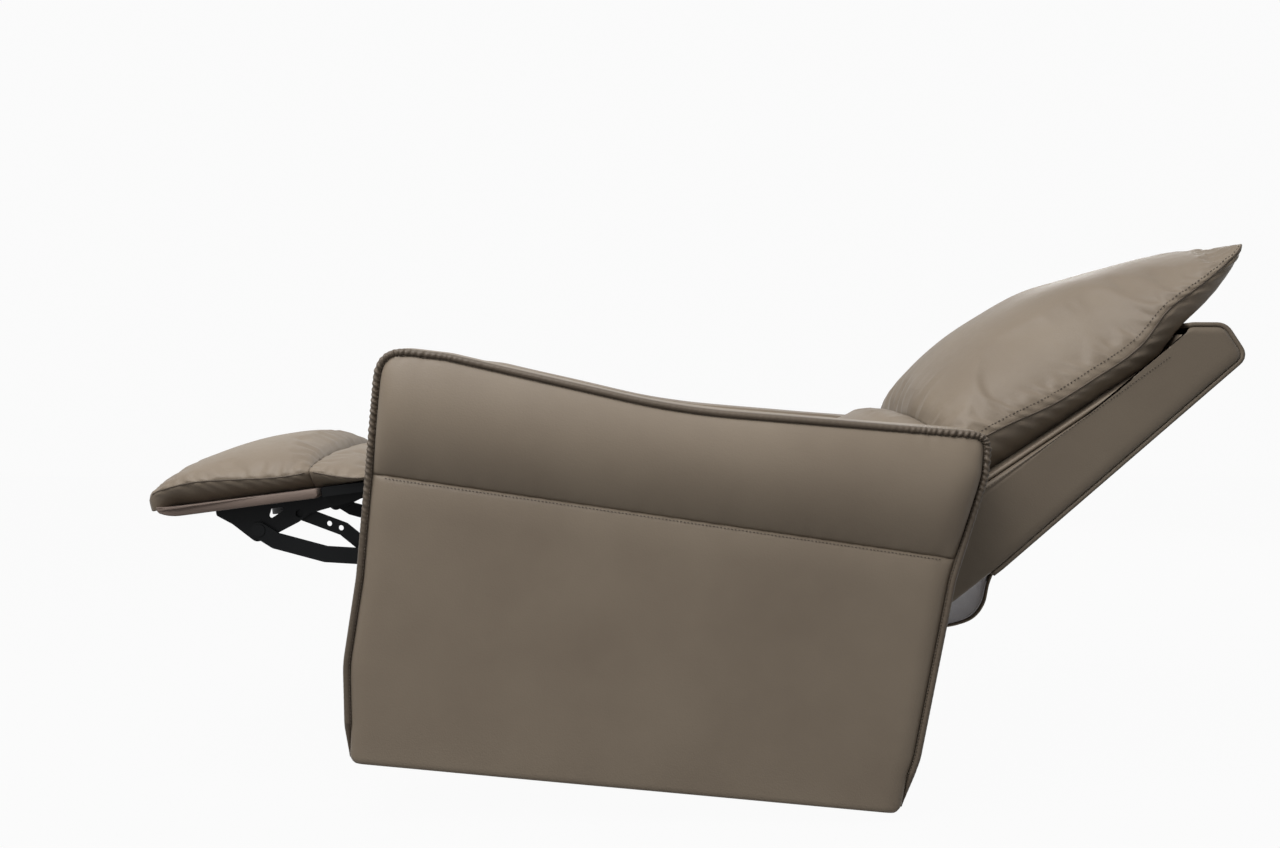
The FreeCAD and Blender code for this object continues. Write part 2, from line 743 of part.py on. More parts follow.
def back_skirt():
    return hanging_sheet(SKIRT, SKIRT_SHEET, BACK_HALF_WIDTH - SKIRT_INSET)


def back_lining():
    run = beside(SKIRT, SKIRT_SHEET + LINING_GAP)[1:]
    return hanging_sheet(run, LINING_SHEET, BACK_HALF_WIDTH - SKIRT_INSET - 4.0)


# Footrest, drawn with the board flat, its inner lower edge at the origin and the tip along -Y

def from_board(point):
    """Level coordinates turned into the flat footrest's."""
    angle = heading(BOARD_END, point) - BOARD_TILT
    return polar(angle, gap(BOARD_END, point))


def footrest_board():
    x = BOARD_HALF_WIDTH
    body = block(-x, x, -BOARD_LENGTH, -2.0, 0.0, BOARD)
    tip = [e for e in body.Edges if abs(e.CenterOfMass.y + BOARD_LENGTH) < 0.01 and e.BoundBox.ZMax < 0.01]
    return body.makeFillet(8.0, tip)


def calf_board():
    x = BOARD_HALF_WIDTH - 10.0
    return block(-x, x, 2.0, CALF_BOARD_LENGTH, 0.0, BOARD)


def foot_pad():
    z = BOARD + SEAT_GAP
    w = FOOT_PAD_HALF_WIDTH
    c = FOOT_PAD_CROWN
    return pad([
        (-251.0, w - 22.0, z + 12.0, 36.0, 48.0),
        (-240.0, w - 8.0, z + 5.0, 38.0, c - 36.0),
        (-220.0, w - 2.0, z + 1.0, 42.0, c - 23.0),
        (-190.0, w, z + 0.3, 46.0, c - 13.0),
        (-112.0, w - 1.0, z, 42.0, c),
        (-62.0, w, z, 38.0, c - 1.0),
        (-28.0, w - 2.0, z, 38.0, c - 9.0),
        (-17.0, w - 4.0, z, 39.0, c - 20.0),
        (-11.0, w - 7.0, z, 40.0, c - 36.0),
    ])


def calf_pad():
    z = BOARD + SEAT_GAP
    w = FOOT_PAD_HALF_WIDTH
    c = FOOT_PAD_CROWN
    return pad([
        (-10.4, w - 7.0, z, 40.0, c - 37.0),
        (0.0, w - 4.0, z, 37.0, c - 32.0),
        (22.0, w - 2.0, z, 30.0, c - 31.0),
        (50.0, w - 2.0, z + 0.1, 23.0, c - 38.0),
        (62.0, w - 3.0, z + 0.4, 21.0, c - 44.0),
        (70.0, w - 5.0, z + 1.6, 21.0, c - 50.0),
        (78.0, w - 14.0, z + 4.0, 23.0, c - 60.0),
    ])


def footrest_brackets():
    pivot = from_board(FOOT_PIVOT)
    end = from_board(UPPER_END)
    x0, x1 = BRACKET_X, BRACKET_X + PLATE
    web = plate([
        (CALF_BOARD_LENGTH - 6.0, -SEAT_GAP, 0.0),
        (CALF_BOARD_LENGTH - 6.0, -10.0, 4.0),
        (end[0] + 16.0, end[1] - 2.0, 10.0),
        (end[0] - 4.0, end[1] - 13.0, 8.0),
        (pivot[0] + 14.0, pivot[1] - 12.0, 10.0),
        (pivot[0] - 8.0, pivot[1] - 18.0, 12.0),
        (pivot[0] - 40.0, pivot[1] + 14.0, 10.0),
        (pivot[0] - 62.0, -8.0, 5.0),
        (pivot[0] - 62.0, -SEAT_GAP, 0.0),
    ], x0, x1)
    window = plate([
        (pivot[0] + 20.0, -8.0, 4.0),
        (pivot[0] + 12.0, pivot[1] + 12.0, 4.0),
        (end[0] - 12.0, -8.0, 4.0),
    ], x0, x1)
    y1 = CALF_BOARD_LENGTH - 8.0
    flange = block(x0 - 24.0, x0 + 1.0, pivot[0] - 60.0, y1, -3.0 - SEAT_GAP, -SEAT_GAP)
    hole = rod(end, PIN, x0, x1)
    stud = rod(pivot, PIN, x0, LOWER_X + PLATE + HEAD + 0.1)
    head = rod(pivot, PIN + 3.0, LOWER_X + PLATE + 0.1, LOWER_X + PLATE + HEAD + 0.1)
    return pair(web.cut(window).cut(hole).fuse([flange, stud, head]).removeSplitter())


def footrest_massagers():
    pods = [turned(motor_pod(x, 0.0, 0.0), 180.0, (0.0, 0.0)) for x in (-110.0, 110.0)]
    for pod in pods:
        pod.translate(V(0, -100.0, -SEAT_GAP))
    return group(pods)


# Footrest linkage, drawn level with the footrest out

def lift_arms():
    x0, x1 = LIFT_X, LIFT_X + PLATE
    shape = link([LIFT_PIVOT, LOWER_PIVOT], LINK_HALF, x0, x1).fuse(rod(LIFT_PIVOT, 18.0, x0, x1))
    shape = shape.fuse([
        rod(LIFT_PIVOT, HUB_PIN, x0, MECH_X + PLATE + HEAD),
        rod(LIFT_PIVOT, HUB_PIN + 4.0, MECH_X + PLATE + 0.1, MECH_X + PLATE + HEAD),
        rod(LOWER_PIVOT, PIN, LOWER_X - HEAD, x1),
        rod(LOWER_PIVOT, PIN + 3.0, LOWER_X - HEAD, LOWER_X - 0.1),
        rod(UPPER_PIVOT, PIN, UPPER_X - HEAD, x1),
        rod(UPPER_PIVOT, PIN + 3.0, UPPER_X - HEAD, UPPER_X - 0.1),
    ])
    return pair(shape.removeSplitter())


def guide_links():
    x0, x1 = GUIDE_X, GUIDE_X + PLATE
    shape = link([GUIDE_PIVOT, GUIDE_END], LINK_HALF - 2.5, x0, x1)
    shape = shape.fuse([
        rod(GUIDE_PIVOT, PIN, x0, MECH_X + PLATE + HEAD),
        rod(GUIDE_PIVOT, PIN + 3.0, MECH_X + PLATE + 0.1, MECH_X + PLATE + HEAD),
        rod(GUIDE_END, PIN, x0 - HEAD, x1 + HEAD),
    ])
    return pair(shape.removeSplitter())


def lower_links():
    x0, x1 = LOWER_X, LOWER_X + PLATE
    kink = (FOOT_PIVOT[0] + 26.0, FOOT_PIVOT[1] - 13.0)
    bend = (LOWER_PIVOT[0] - 90.0, LOWER_PIVOT[1] - 3.0)
    shape = link([FOOT_PIVOT, kink, bend, LOWER_PIVOT, GUIDE_END], LINK_HALF, x0, x1)
    for point in (FOOT_PIVOT, LOWER_PIVOT):
        shape = shape.cut(rod(point, PIN + RUNNING, x0, x1))
    return pair(shape)


def upper_links():
    x0, x1 = UPPER_X, UPPER_X + PLATE
    elbow = (UPPER_END[0] + 66.0, UPPER_END[1] - 18.0)
    dip = (UPPER_END[0] + 96.0, UPPER_END[1] - 38.0)
    shape = link([UPPER_END, elbow, dip, UPPER_PIVOT], LINK_HALF - 2.0, x0, x1)
    shape = shape.cut(rod(UPPER_PIVOT, PIN + RUNNING, x0, x1))
    for back in (44.0, 62.0):
        hole = (UPPER_END[0] + back, UPPER_END[1] - 0.27 * back)
        shape = shape.cut(rod(hole, 4.0, x0, x1))
    return pair(shape.fuse(rod(UPPER_END, PIN, x0 - HEAD, x1 + HEAD)).removeSplitter())


def torque_tube():
    x = LIFT_X - SEAT_GAP
    return rod(LIFT_PIVOT, TUBE_RADIUS, -x, x)


CRANK_OUT = 270.0 - LIFT_TURN / 2.0
PIN_OUT = step(LIFT_PIVOT, CRANK_OUT, CRANK)
SCREW_Z = LIFT_PIVOT[1] - SCREW_DROP
RAIL_Z = SCREW_Z - 18.0


def drive_crank():
    x0, x1 = CRANK_X, CRANK_X + 2.0 * PLATE
    arm = link([LIFT_PIVOT, PIN_OUT], LINK_HALF, x0, x1).fuse(rod(LIFT_PIVOT, 20.0, x0, x1))
    arm = arm.cut(rod(LIFT_PIVOT, TUBE_RADIUS + 0.1, x0, x1))
    return arm.fuse(rod(PIN_OUT, CRANK_PIN, -14.0, x1)).removeSplitter()


def drive_nut():
    y = PIN_OUT[0]
    low = PIN_OUT[1] - CRANK * (1.0 - math.cos(math.radians(LIFT_TURN / 2.0)))
    half = CRANK_PIN + SLOT_CLEARANCE
    body = block(-20.0, 20.0, y - 15.0, y + 15.0, RAIL_Z + SEAT_GAP, PIN_OUT[1] + 14.0)
    slot = block(-20.0, 20.0, y - half, y + half, low - half, PIN_OUT[1] + half)
    bore = Part.makeCylinder(SCREW_RADIUS + RUNNING, 40.0, V(0, y - 20.0, SCREW_Z), V(0, 1, 0))
    return body.cut(slot).cut(bore)


def drive_screw():
    length = GEARBOX_FRONT - RAIL_FRONT - SEAT_GAP
    return Part.makeCylinder(SCREW_RADIUS, length, V(0, RAIL_FRONT, SCREW_Z), V(0, 1, 0))


def drive_rail():
    bar = block(-14.0, 14.0, RAIL_FRONT - 4.0, GEARBOX_FRONT - SEAT_GAP, RAIL_Z - 8.0, RAIL_Z)
    stand = block(-14.0, 14.0, RAIL_FRONT - 4.0, RAIL_FRONT + 8.0, RAIL_Z - 1.0, SCREW_Z + 14.0)
    bore = Part.makeCylinder(SCREW_RADIUS + RUNNING, 40.0, V(0, RAIL_FRONT - SEAT_GAP, SCREW_Z), V(0, 1, 0))
    return bar.fuse(stand).removeSplitter().cut(bore)


def drive_motor():
    y = GEARBOX_FRONT
    box = block(-32.0, 32.0, y, y + 70.0, RAIL_Z - 12.0, SCREW_Z + 30.0)
    can = Part.makeCylinder(24.0, 80.0, V(30.0, y + 38.0, SCREW_Z), V(1, 0, 0))
    return box.fuse(can).removeSplitter()


def drive_brackets():
    z = CAM_TOP + SEAT_GAP + TUBE + SEAT_GAP
    front = block(-12.0, 12.0, TUBE_FRONT_Y + 2.0, TUBE_FRONT_Y + 14.0, z, RAIL_Z - 8.0 - SEAT_GAP)
    rear = block(-24.0, 24.0, TUBE_REAR_Y - 14.0, TUBE_REAR_Y + 14.0, z, RAIL_Z - 12.0 - SEAT_GAP)
    return group([front, rear])


def control_box():
    z = CAM_TOP + 2.0 * SEAT_GAP + TUBE
    y = TUBE_REAR_Y
    return block(-170.0, -60.0, y - 40.0, y + 40.0, z, z + 42.0)


def power_inlet():
    z = CAM_TOP + 2.0 * SEAT_GAP + TUBE
    y = TUBE_REAR_Y + 40.0 + SEAT_GAP
    body = block(-130.0, -106.0, y, y + 9.0, z + 10.0, z + 30.0)
    return body.cut(Part.makeCylinder(4.0, 7.0, V(-118.0, y + 3.0, z + 20.0), V(0, 1, 0)))


def seat_massagers():
    z = SEAT_RAIL_BOTTOM + SEAT_RAIL_HEIGHT - 31.0
    pods = []
    for x in (-100.0, 100.0):
        y0 = SEAT_FRONT + SEAT_RAIL_WIDTH + SEAT_GAP
        y1 = SEAT_REAR - SEAT_RAIL_WIDTH - SEAT_GAP
        slat = block(x - 30.0, x + 30.0, y0, y1, z - 6.0, z)
        pods.append(slat.fuse(motor_pod(x, -60.0, z - 0.5)).removeSplitter())
    return group(pods)


# Assembly

def on_base(shape):
    return shape


def on_chassis(shape):
    return turned(shape, -ROCK_LEAN, (0.0, RUNNER_TOP))


def on_back(shape):
    return on_chassis(placed(shape, BACK_LEAN, BACK_HINGE))


def on_footrest(shape):
    return on_chassis(placed(shape, BOARD_TILT, BOARD_END))


NODES = [
    ("base_runners", on_base, runners()),
    ("base_rails", on_base, base_rails()),
    ("base_glides", on_base, glides()),
    ("spring_feet", on_base, spring_feet()),
    ("rocker_springs", on_base, rocker_springs()),
    ("rocker_cams", on_chassis, rocker_cams()),
    ("spring_plates", on_chassis, spring_plates()),
    ("cross_tubes", on_chassis, cross_tubes()),
    ("mechanism_plates", on_chassis, mechanism_plates()),
    ("arm_spacers", on_chassis, arm_spacers()),
    ("arm_inner_pads", on_chassis, arm_inner_pads()),
    ("arm_frames", on_chassis, arm_frames()),
    ("rear_valance", on_chassis, rear_valance()),
    ("seat_side_rails", on_chassis, seat_side_rails()),
    ("seat_front_rail", on_chassis, seat_cross_rail(SEAT_FRONT)),
    ("seat_rear_rail", on_chassis, seat_cross_rail(SEAT_REAR - SEAT_RAIL_WIDTH)),
    ("seat_springs", on_chassis, seat_springs()),
    ("seat_cushion", on_chassis, seat_cushion()),
    ("seat_massagers", on_chassis, seat_massagers()),
    ("control_box", on_chassis, control_box()),
    ("power_inlet", on_chassis, power_inlet()),
    ("drive_rail", on_chassis, drive_rail()),
    ("drive_motor", on_chassis, drive_motor()),
    ("drive_brackets", on_chassis, drive_brackets()),
    ("drive_nut", on_chassis, drive_nut()),
    ("drive_screw", on_chassis, drive_screw()),
    ("lift_arms", on_chassis, lift_arms()),
    ("torque_tube", on_chassis, torque_tube()),
    ("drive_crank", on_chassis, drive_crank()),
    ("guide_links", on_chassis, guide_links()),
    ("lower_links", on_chassis, lower_links()),
    ("upper_links", on_chassis, upper_links()),
    ("footrest_brackets", on_footrest, footrest_brackets()),
    ("footrest_board", on_footrest, footrest_board()),
    ("calf_board", on_footrest, calf_board()),
    ("foot_pad", on_footrest, foot_pad()),
    ("calf_pad", on_footrest, calf_pad()),
    ("footrest_massagers", on_footrest, footrest_massagers()),
    ("back_side_rails", on_back, back_side_rails()),
    ("back_hinges", on_back, back_hinges()),
    ("back_cross_rails", on_back, back_cross_rails()),
    ("back_springs", on_back, back_springs()),
    ("back_massagers", on_back, back_massagers()),
    ("back_cover", on_back, back_cover()),
    ("back_deck", on_back, back_deck()),
    ("back_skirt", on_back, back_skirt()),
    ("back_lining", on_back, back_lining()),
    ("lumbar_cushion", on_back, lumbar_cushion()),
    ("head_pillow", on_back, head_pillow()),
]
for name, place, shape in (
    ("arm_boxing", on_chassis, arm_boxing()),
    ("arm_upper_panel", on_chassis, arm_upper_panel()),
    ("arm_lower_panel", on_chassis, arm_lower_panel()),
    ("arm_welt", on_chassis, arm_welt()),
    ("back_side_cover", on_back, back_side_cover()),
):
    NODES.append((name + "_left", place, shape))
    NODES.append((name + "_right", place, mirrored(shape)))

for name, place, shape in NODES:
    place(shape).exportStep("parts/" + name + ".step")
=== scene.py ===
import math

import bpy
import numpy as np
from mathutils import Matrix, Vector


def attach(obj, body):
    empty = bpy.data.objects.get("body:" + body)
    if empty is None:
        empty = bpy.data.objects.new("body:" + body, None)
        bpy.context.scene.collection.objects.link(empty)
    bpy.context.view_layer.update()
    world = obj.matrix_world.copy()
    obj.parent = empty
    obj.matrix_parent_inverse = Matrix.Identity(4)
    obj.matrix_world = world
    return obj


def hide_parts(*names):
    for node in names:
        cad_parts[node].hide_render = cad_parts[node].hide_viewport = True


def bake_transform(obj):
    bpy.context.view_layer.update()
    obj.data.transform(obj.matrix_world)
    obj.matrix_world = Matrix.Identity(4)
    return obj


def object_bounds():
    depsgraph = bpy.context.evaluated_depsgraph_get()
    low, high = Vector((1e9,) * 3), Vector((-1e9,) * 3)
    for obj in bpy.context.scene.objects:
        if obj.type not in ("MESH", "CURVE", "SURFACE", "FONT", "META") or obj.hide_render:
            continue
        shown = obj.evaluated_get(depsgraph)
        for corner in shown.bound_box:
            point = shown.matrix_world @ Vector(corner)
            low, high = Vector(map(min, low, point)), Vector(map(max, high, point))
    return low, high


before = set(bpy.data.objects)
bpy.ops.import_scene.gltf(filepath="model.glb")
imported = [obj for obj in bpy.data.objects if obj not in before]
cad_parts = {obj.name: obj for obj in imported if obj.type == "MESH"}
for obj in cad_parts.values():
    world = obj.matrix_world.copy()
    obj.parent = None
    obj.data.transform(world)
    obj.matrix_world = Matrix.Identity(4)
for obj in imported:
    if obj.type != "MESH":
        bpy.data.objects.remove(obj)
cad_low, cad_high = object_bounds()
bpy.context.scene.view_settings.view_transform = "Standard"


# Base: two black steel runners tied by three rails, standing on moulded glides, with the
# four coil springs that bring the chair back after each rock.

def linear(code):
    """Linear RGBA of an sRGB hex colour."""
    parts = [int(code[i:i + 2], 16) / 255 for i in (1, 3, 5)]
    return [c / 12.92 if c <= 0.04045 else ((c + 0.055) / 1.055) ** 2.4 for c in parts] + [1.0]


def add(tree, kind, inputs=None, **settings):
    """A node with its settings; an input that is a socket is linked."""
    made = tree.nodes.new(kind)
    for key, value in settings.items():
        setattr(made, key, value)
    for key, value in (inputs or {}).items():
        if isinstance(value, bpy.types.NodeSocket):
            tree.links.new(value, made.inputs[key])
        else:
            made.inputs[key].default_value = value
    return made


def new_material(name):
    """An empty node material, with its Principled shader and object coordinates in metres."""
    made = bpy.data.materials.new(name)
    made.use_nodes = True
    tree = made.node_tree
    shader = tree.nodes["Principled BSDF"]
    place = add(tree, "ShaderNodeTexCoord").outputs["Object"]
    return made, tree, shader, place


def finish_nodes(material, *names):
    """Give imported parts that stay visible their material."""
    for name in names:
        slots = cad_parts[name].data.materials
        slots.clear()
        slots.append(material)


def noise(tree, place, size_mm, detail, roughness=0.5):
    """Grey value of a noise with spots of about the given size."""
    return add(tree, "ShaderNodeTexNoise", {"Vector": place, "Scale": 1000 / size_mm, "Detail": detail,
                                            "Roughness": roughness}).outputs["Fac"]


def tint(tree, shader, value, dark, pale, low=0.0, high=1.0):
    """Colour a shader between two hex colours by a grey value."""
    ramp = add(tree, "ShaderNodeValToRGB", {"Fac": value})
    for stop, position, code in zip(ramp.color_ramp.elements, (low, high), (dark, pale)):
        stop.position, stop.color = position, linear(code)
    tree.links.new(ramp.outputs["Color"], shader.inputs["Base Color"])


def relief(tree, shader, height, strength, depth_m, under=None):
    """Give a shader a bump from a grey value, on top of another bump if one is given."""
    inputs = {"Height": height, "Strength": strength, "Distance": depth_m}
    if under:
        inputs["Normal"] = under
    bump = add(tree, "ShaderNodeBump", inputs).outputs["Normal"]
    tree.links.new(bump, shader.inputs["Normal"])
    return bump


def powder_coat():
    """Black epoxy powder on pressed steel: a faint orange-peel skin and soft gloss."""
    made, tree, shader, place = new_material("black_powder_coat")
    dust_mm, peel_mm = 60, 2.5
    tint(tree, shader, noise(tree, place, dust_mm, 4.0), "#08090B", "#121314")
    relief(tree, shader, noise(tree, place, peel_mm, 1.0), 0.15, 0.0004)
    shader.inputs["Roughness"].default_value = 0.5
    shader.inputs["Specular IOR Level"].default_value = 0.12
    return made


def drawn_steel():
    """Bare drawn spring wire: grey metal with a light oily streak along it."""
    made, tree, shader, place = new_material("drawn_spring_steel")
    streak_mm = 9
    streak = noise(tree, place, streak_mm, 3.0)
    tint(tree, shader, streak, "#6F6E6C", "#9B9A97")
    rough = add(tree, "ShaderNodeMapRange", {"Value": streak, "To Min": 0.25, "To Max": 0.5})
    tree.links.new(rough.outputs["Result"], shader.inputs["Roughness"])
    shader.inputs["Metallic"].default_value = 1.0
    return made


def moulded_plastic(name, dark, pale):
    """Injection-moulded ABS with a fine spark-eroded texture."""
    made, tree, shader, place = new_material(name)
    grit_mm = 1.6
    grit = noise(tree, place, grit_mm, 2.0)
    tint(tree, shader, grit, dark, pale)
    relief(tree, shader, grit, 0.2, 0.0003)
    shader.inputs["Roughness"].default_value = 0.55
    return made


def strip_faces(rows, cols, close_cols=False):
    """Quads of a grid of points, counted row by row."""
    faces = []
    for r in range(rows - 1):
        for c in range(cols - (0 if close_cols else 1)):
            here, after = r * cols + c, r * cols + (c + 1) % cols
            faces.append((here, after, after + cols, here + cols))
    return faces


def tube_faces(rings, sides):
    """Quads between closed rings that follow each other, and a face at both ends."""
    last = (rings - 1) * sides
    ends = [tuple(range(sides)), tuple(range(last + sides - 1, last - 1, -1))]
    return strip_faces(rings, sides, close_cols=True) + ends


def piece(name, points, faces, material, body, nodes=()):
    """A smooth mesh that rides on a body, if one is given, in place of the given nodes."""
    mesh = bpy.data.meshes.new(name)
    mesh.from_pydata([tuple(p) for p in np.reshape(points, (-1, 3))], [], faces)
    mesh.validate()
    mesh.polygons.foreach_set("use_smooth", [True] * len(mesh.polygons))
    mesh.materials.append(material)
    made = bpy.data.objects.new(name, mesh)
    bpy.context.scene.collection.objects.link(made)
    bpy.context.view_layer.objects.active = made
    bpy.ops.object.select_all(action="DESELECT")
    made.select_set(True)
    bpy.ops.object.mode_set(mode="EDIT")
    bpy.ops.mesh.select_all(action="SELECT")
    bpy.ops.mesh.normals_make_consistent(inside=False)
    bpy.ops.object.mode_set(mode="OBJECT")
    if body:
        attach(made, body)
    if nodes:
        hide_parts(*nodes)
    return made


black_powder = powder_coat()
spring_wire = drawn_steel()
black_abs = moulded_plastic("black_moulded_abs", "#141414", "#222222")
finish_nodes(black_powder, "base_runners", "base_rails", "spring_feet")
finish_nodes(black_abs, "base_glides")

coil_x, coil_radius, wire_radius, turns = 124.0, 17.0, 2.5, 4
coil_foot = 50.8
front_coil, rear_coil = (-26.8, 112.2), (33.2, 106.7)
loops, sides = turns * 28, 10
turn = np.linspace(0, 1, loops)[:, None]
round_wire = np.linspace(0, 2 * math.pi, sides, endpoint=False)[None]
# the end turns are closed and ground flat, as on a compression spring
climb = np.clip((turn - 0.12) / 0.76, 0, 1)
angle = turn * turns * 2 * math.pi
reach = coil_radius + wire_radius * np.cos(round_wire)
points, faces = [], []
for y, top in (front_coil, rear_coil):
    for x in (coil_x, -coil_x):
        lift = coil_foot + (top - coil_foot) * climb + wire_radius * np.sin(round_wire)
        coil = np.stack([x + reach * np.cos(angle), y + reach * np.sin(angle), lift], -1)
        faces += [tuple(i + len(points) for i in f) for f in tube_faces(loops, sides)]
        points += list(coil.reshape(-1, 3))
coils = piece("rocker_coil_springs", np.array(points) / 1000, faces, spring_wire, None,
              ["rocker_springs"])
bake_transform(coils)


# Chassis and mechanism: pressed steel side plates on two cross tubes, the riveted links
# that carry the footrest, and the motor that winds them in along a lead screw.

def birch_ply():
    """Raw birch: pale, with grain drawn along the length and a matt sawn face."""
    made, tree, shader, place = new_material("raw_birch")
    grain_mm = 6
    stretched = add(tree, "ShaderNodeMapping", {"Vector": place, "Scale": (1.0, 0.12, 1.0)})
    grain = noise(tree, stretched.outputs["Vector"], grain_mm, 5.0)
    tint(tree, shader, grain, "#A98A5F", "#CDB48A")
    relief(tree, shader, grain, 0.25, 0.0005)
    shader.inputs["Roughness"].default_value = 0.7
    return made


birch = birch_ply()
motor_grey = moulded_plastic("grey_motor_can", "#3A3A3C", "#4A4A4C")
finish_nodes(black_powder, "cross_tubes", "mechanism_plates", "arm_spacers", "spring_plates",
             "lift_arms", "torque_tube", "drive_crank", "guide_links", "lower_links", "upper_links",
             "footrest_brackets", "calf_board", "drive_rail", "drive_brackets", "back_hinges")
finish_nodes(birch, "rocker_cams", "arm_frames", "seat_side_rails", "seat_front_rail",
             "seat_rear_rail", "back_side_rails", "back_cross_rails")
finish_nodes(motor_grey, "drive_motor", "seat_massagers", "back_massagers", "footrest_massagers")
finish_nodes(black_abs, "drive_nut", "control_box", "power_inlet")
finish_nodes(spring_wire, "drive_screw", "seat_springs", "back_springs")


# Seat cushion: a foam block in leather, crowned on top, with a front lip over the rail.
# It sits between the arms on the zigzag springs.

def leather_hide(name, dark, pale, grain_depth):
    """Coated upholstery leather: soft satin skin, pebble grain, slow tone changes, dry creases."""
    made, tree, shader, place = new_material(name)
    cloud_mm, crease_mm = 170, 14
    tint(tree, shader, noise(tree, place, cloud_mm, 3.0), dark, pale, low=0.3, high=0.7)
    # the real pebble is about 1 mm; it is drawn at twice that so that it shows
    pebble_mm = 2.2
    pebble = add(tree, "ShaderNodeTexVoronoi", {"Vector": place, "Scale": 1000 / pebble_mm},
                 feature="SMOOTH_F1")
    crease = noise(tree, place, crease_mm, 4.0, roughness=0.6)
    rough = add(tree, "ShaderNodeMapRange", {"Value": crease, "To Min": 0.44, "To Max": 0.6})
    tree.links.new(rough.outputs["Result"], shader.inputs["Roughness"])
    fine = relief(tree, shader, pebble.outputs["Distance"], grain_depth, 0.0004)
    relief(tree, shader, crease, 0.12, 0.0012, under=fine)
    shader.inputs["IOR"].default_value = 1.46
    shader.inputs["Specular IOR Level"].default_value = 0.32
    shader.inputs["Sheen Weight"].default_value = 0.06
    shader.inputs["Sheen Roughness"].default_value = 0.5
    return made


taupe = leather_hide("taupe_upholstery_leather", "#74685A", "#7E7263", 0.35)


def on_chassis(points):
    """Points drawn in mm with the chair level, leaned back and turned to metres."""
    lean = math.radians(5.25)
    rocker = 50.0
    p = np.asarray(points, float)
    y, z = p[..., 1], p[..., 2] - rocker
    turned = [p[..., 0], y * math.cos(lean) + z * math.sin(lean),
              rocker - y * math.sin(lean) + z * math.cos(lean)]
    return np.stack(turned, -1) / 1000


def eased(xs, ys, at):
    """Smooth curve through a run of points."""
    xs, ys = np.asarray(xs, float), np.asarray(ys, float)
    slope = np.gradient(ys, xs)
    i = np.clip(np.searchsorted(xs, at, side="right") - 1, 0, len(xs) - 2)
    h = xs[i + 1] - xs[i]
    t = (at - xs[i]) / h
    return ((1 + 2 * t) * (1 - t) ** 2 * ys[i] + t * (1 - t) ** 2 * h * slope[i]
            + t * t * (3 - 2 * t) * ys[i + 1] + t * t * (t - 1) * h * slope[i + 1])


def path_length(run):
    """Distance along a line to each of its points."""
    return np.append(0, np.cumsum(np.linalg.norm(np.diff(run, axis=0), axis=1)))


# columns of a cushion's rings: over the crowned top, and down each side
ACROSS = 72
SIDE = 9


def cushion_rings(stations, spacing, tuck=((0,), (14,))):
    """Rings of a stuffed cover: crowned top from seam to seam, drawn-in sides, flat underside.
    Each station is (along, half width, underside, seam, crown), in mm; tuck gives how far the
    sides draw in, at places along."""
    fullness, floor_columns = 0.6, 12
    rows = np.array(stations, float)
    along = np.arange(rows[0, 0], rows[-1, 0] + spacing / 2, spacing)
    along = np.append(along[along < rows[-1, 0] - 0.3 * spacing], rows[-1, 0])
    half, under, seam, crown = [eased(rows[:, 0], rows[:, i], along)[:, None] for i in (1, 2, 3, 4)]
    tuck = np.interp(along, *tuck)[:, None]
    sweep = np.linspace(-1, 1, ACROSS)
    share = np.sin(sweep * math.pi / 2)[None, :]
    top_x = half * share
    top_n = seam + (crown - seam) * (1 - np.abs(share) ** 2.6) ** fullness
    down = np.linspace(0, 1, SIDE + 1)[None, 1:]
    side_x = half - tuck * down ** 1.6
    side_n = seam + (under - seam) * down
    floor_x = (half - tuck) * np.linspace(1, -1, floor_columns + 2)[None, 1:-1]
    floor_n = under + 0 * floor_x
    ring_x = np.hstack([top_x, side_x, floor_x, -side_x[:, ::-1]])
    ring_n = np.hstack([top_n, side_n, floor_n, side_n[:, ::-1]])
    ring_u = along[:, None] + 0 * ring_x
    return np.stack([ring_x, ring_u, ring_n], -1)


def cushion_faces(rings, bulge=(0.0, 0.0)):
    """Skin of a run of rings, with each end drawn together to a small closing face."""
    count, cols = rings.shape[:2]
    faces = strip_faces(count, cols, close_cols=True)
    points = rings.reshape(-1, 3)
    for row, near, swell in ((0, 1, bulge[0]), (count - 1, count - 2, bulge[1])):
        middle = rings[row].mean(0)
        away = middle - rings[near].mean(0)
        away = away / np.linalg.norm(away) * swell
        ring = [row * cols + c for c in range(cols)]
        for share in (0.93, 0.8, 0.55, 0.25, 0.1):
            start = len(points)
            drawn = middle + (rings[row] - middle) * share + away * math.sqrt(1 - share ** 2)
            points = np.vstack([points, drawn])
            inner = [start + c for c in range(cols)]
            for c in range(cols):
                faces.append((ring[c], ring[(c + 1) % cols], inner[(c + 1) % cols], inner[c]))
            ring = inner
        faces.append(tuple(ring))
    return points, faces


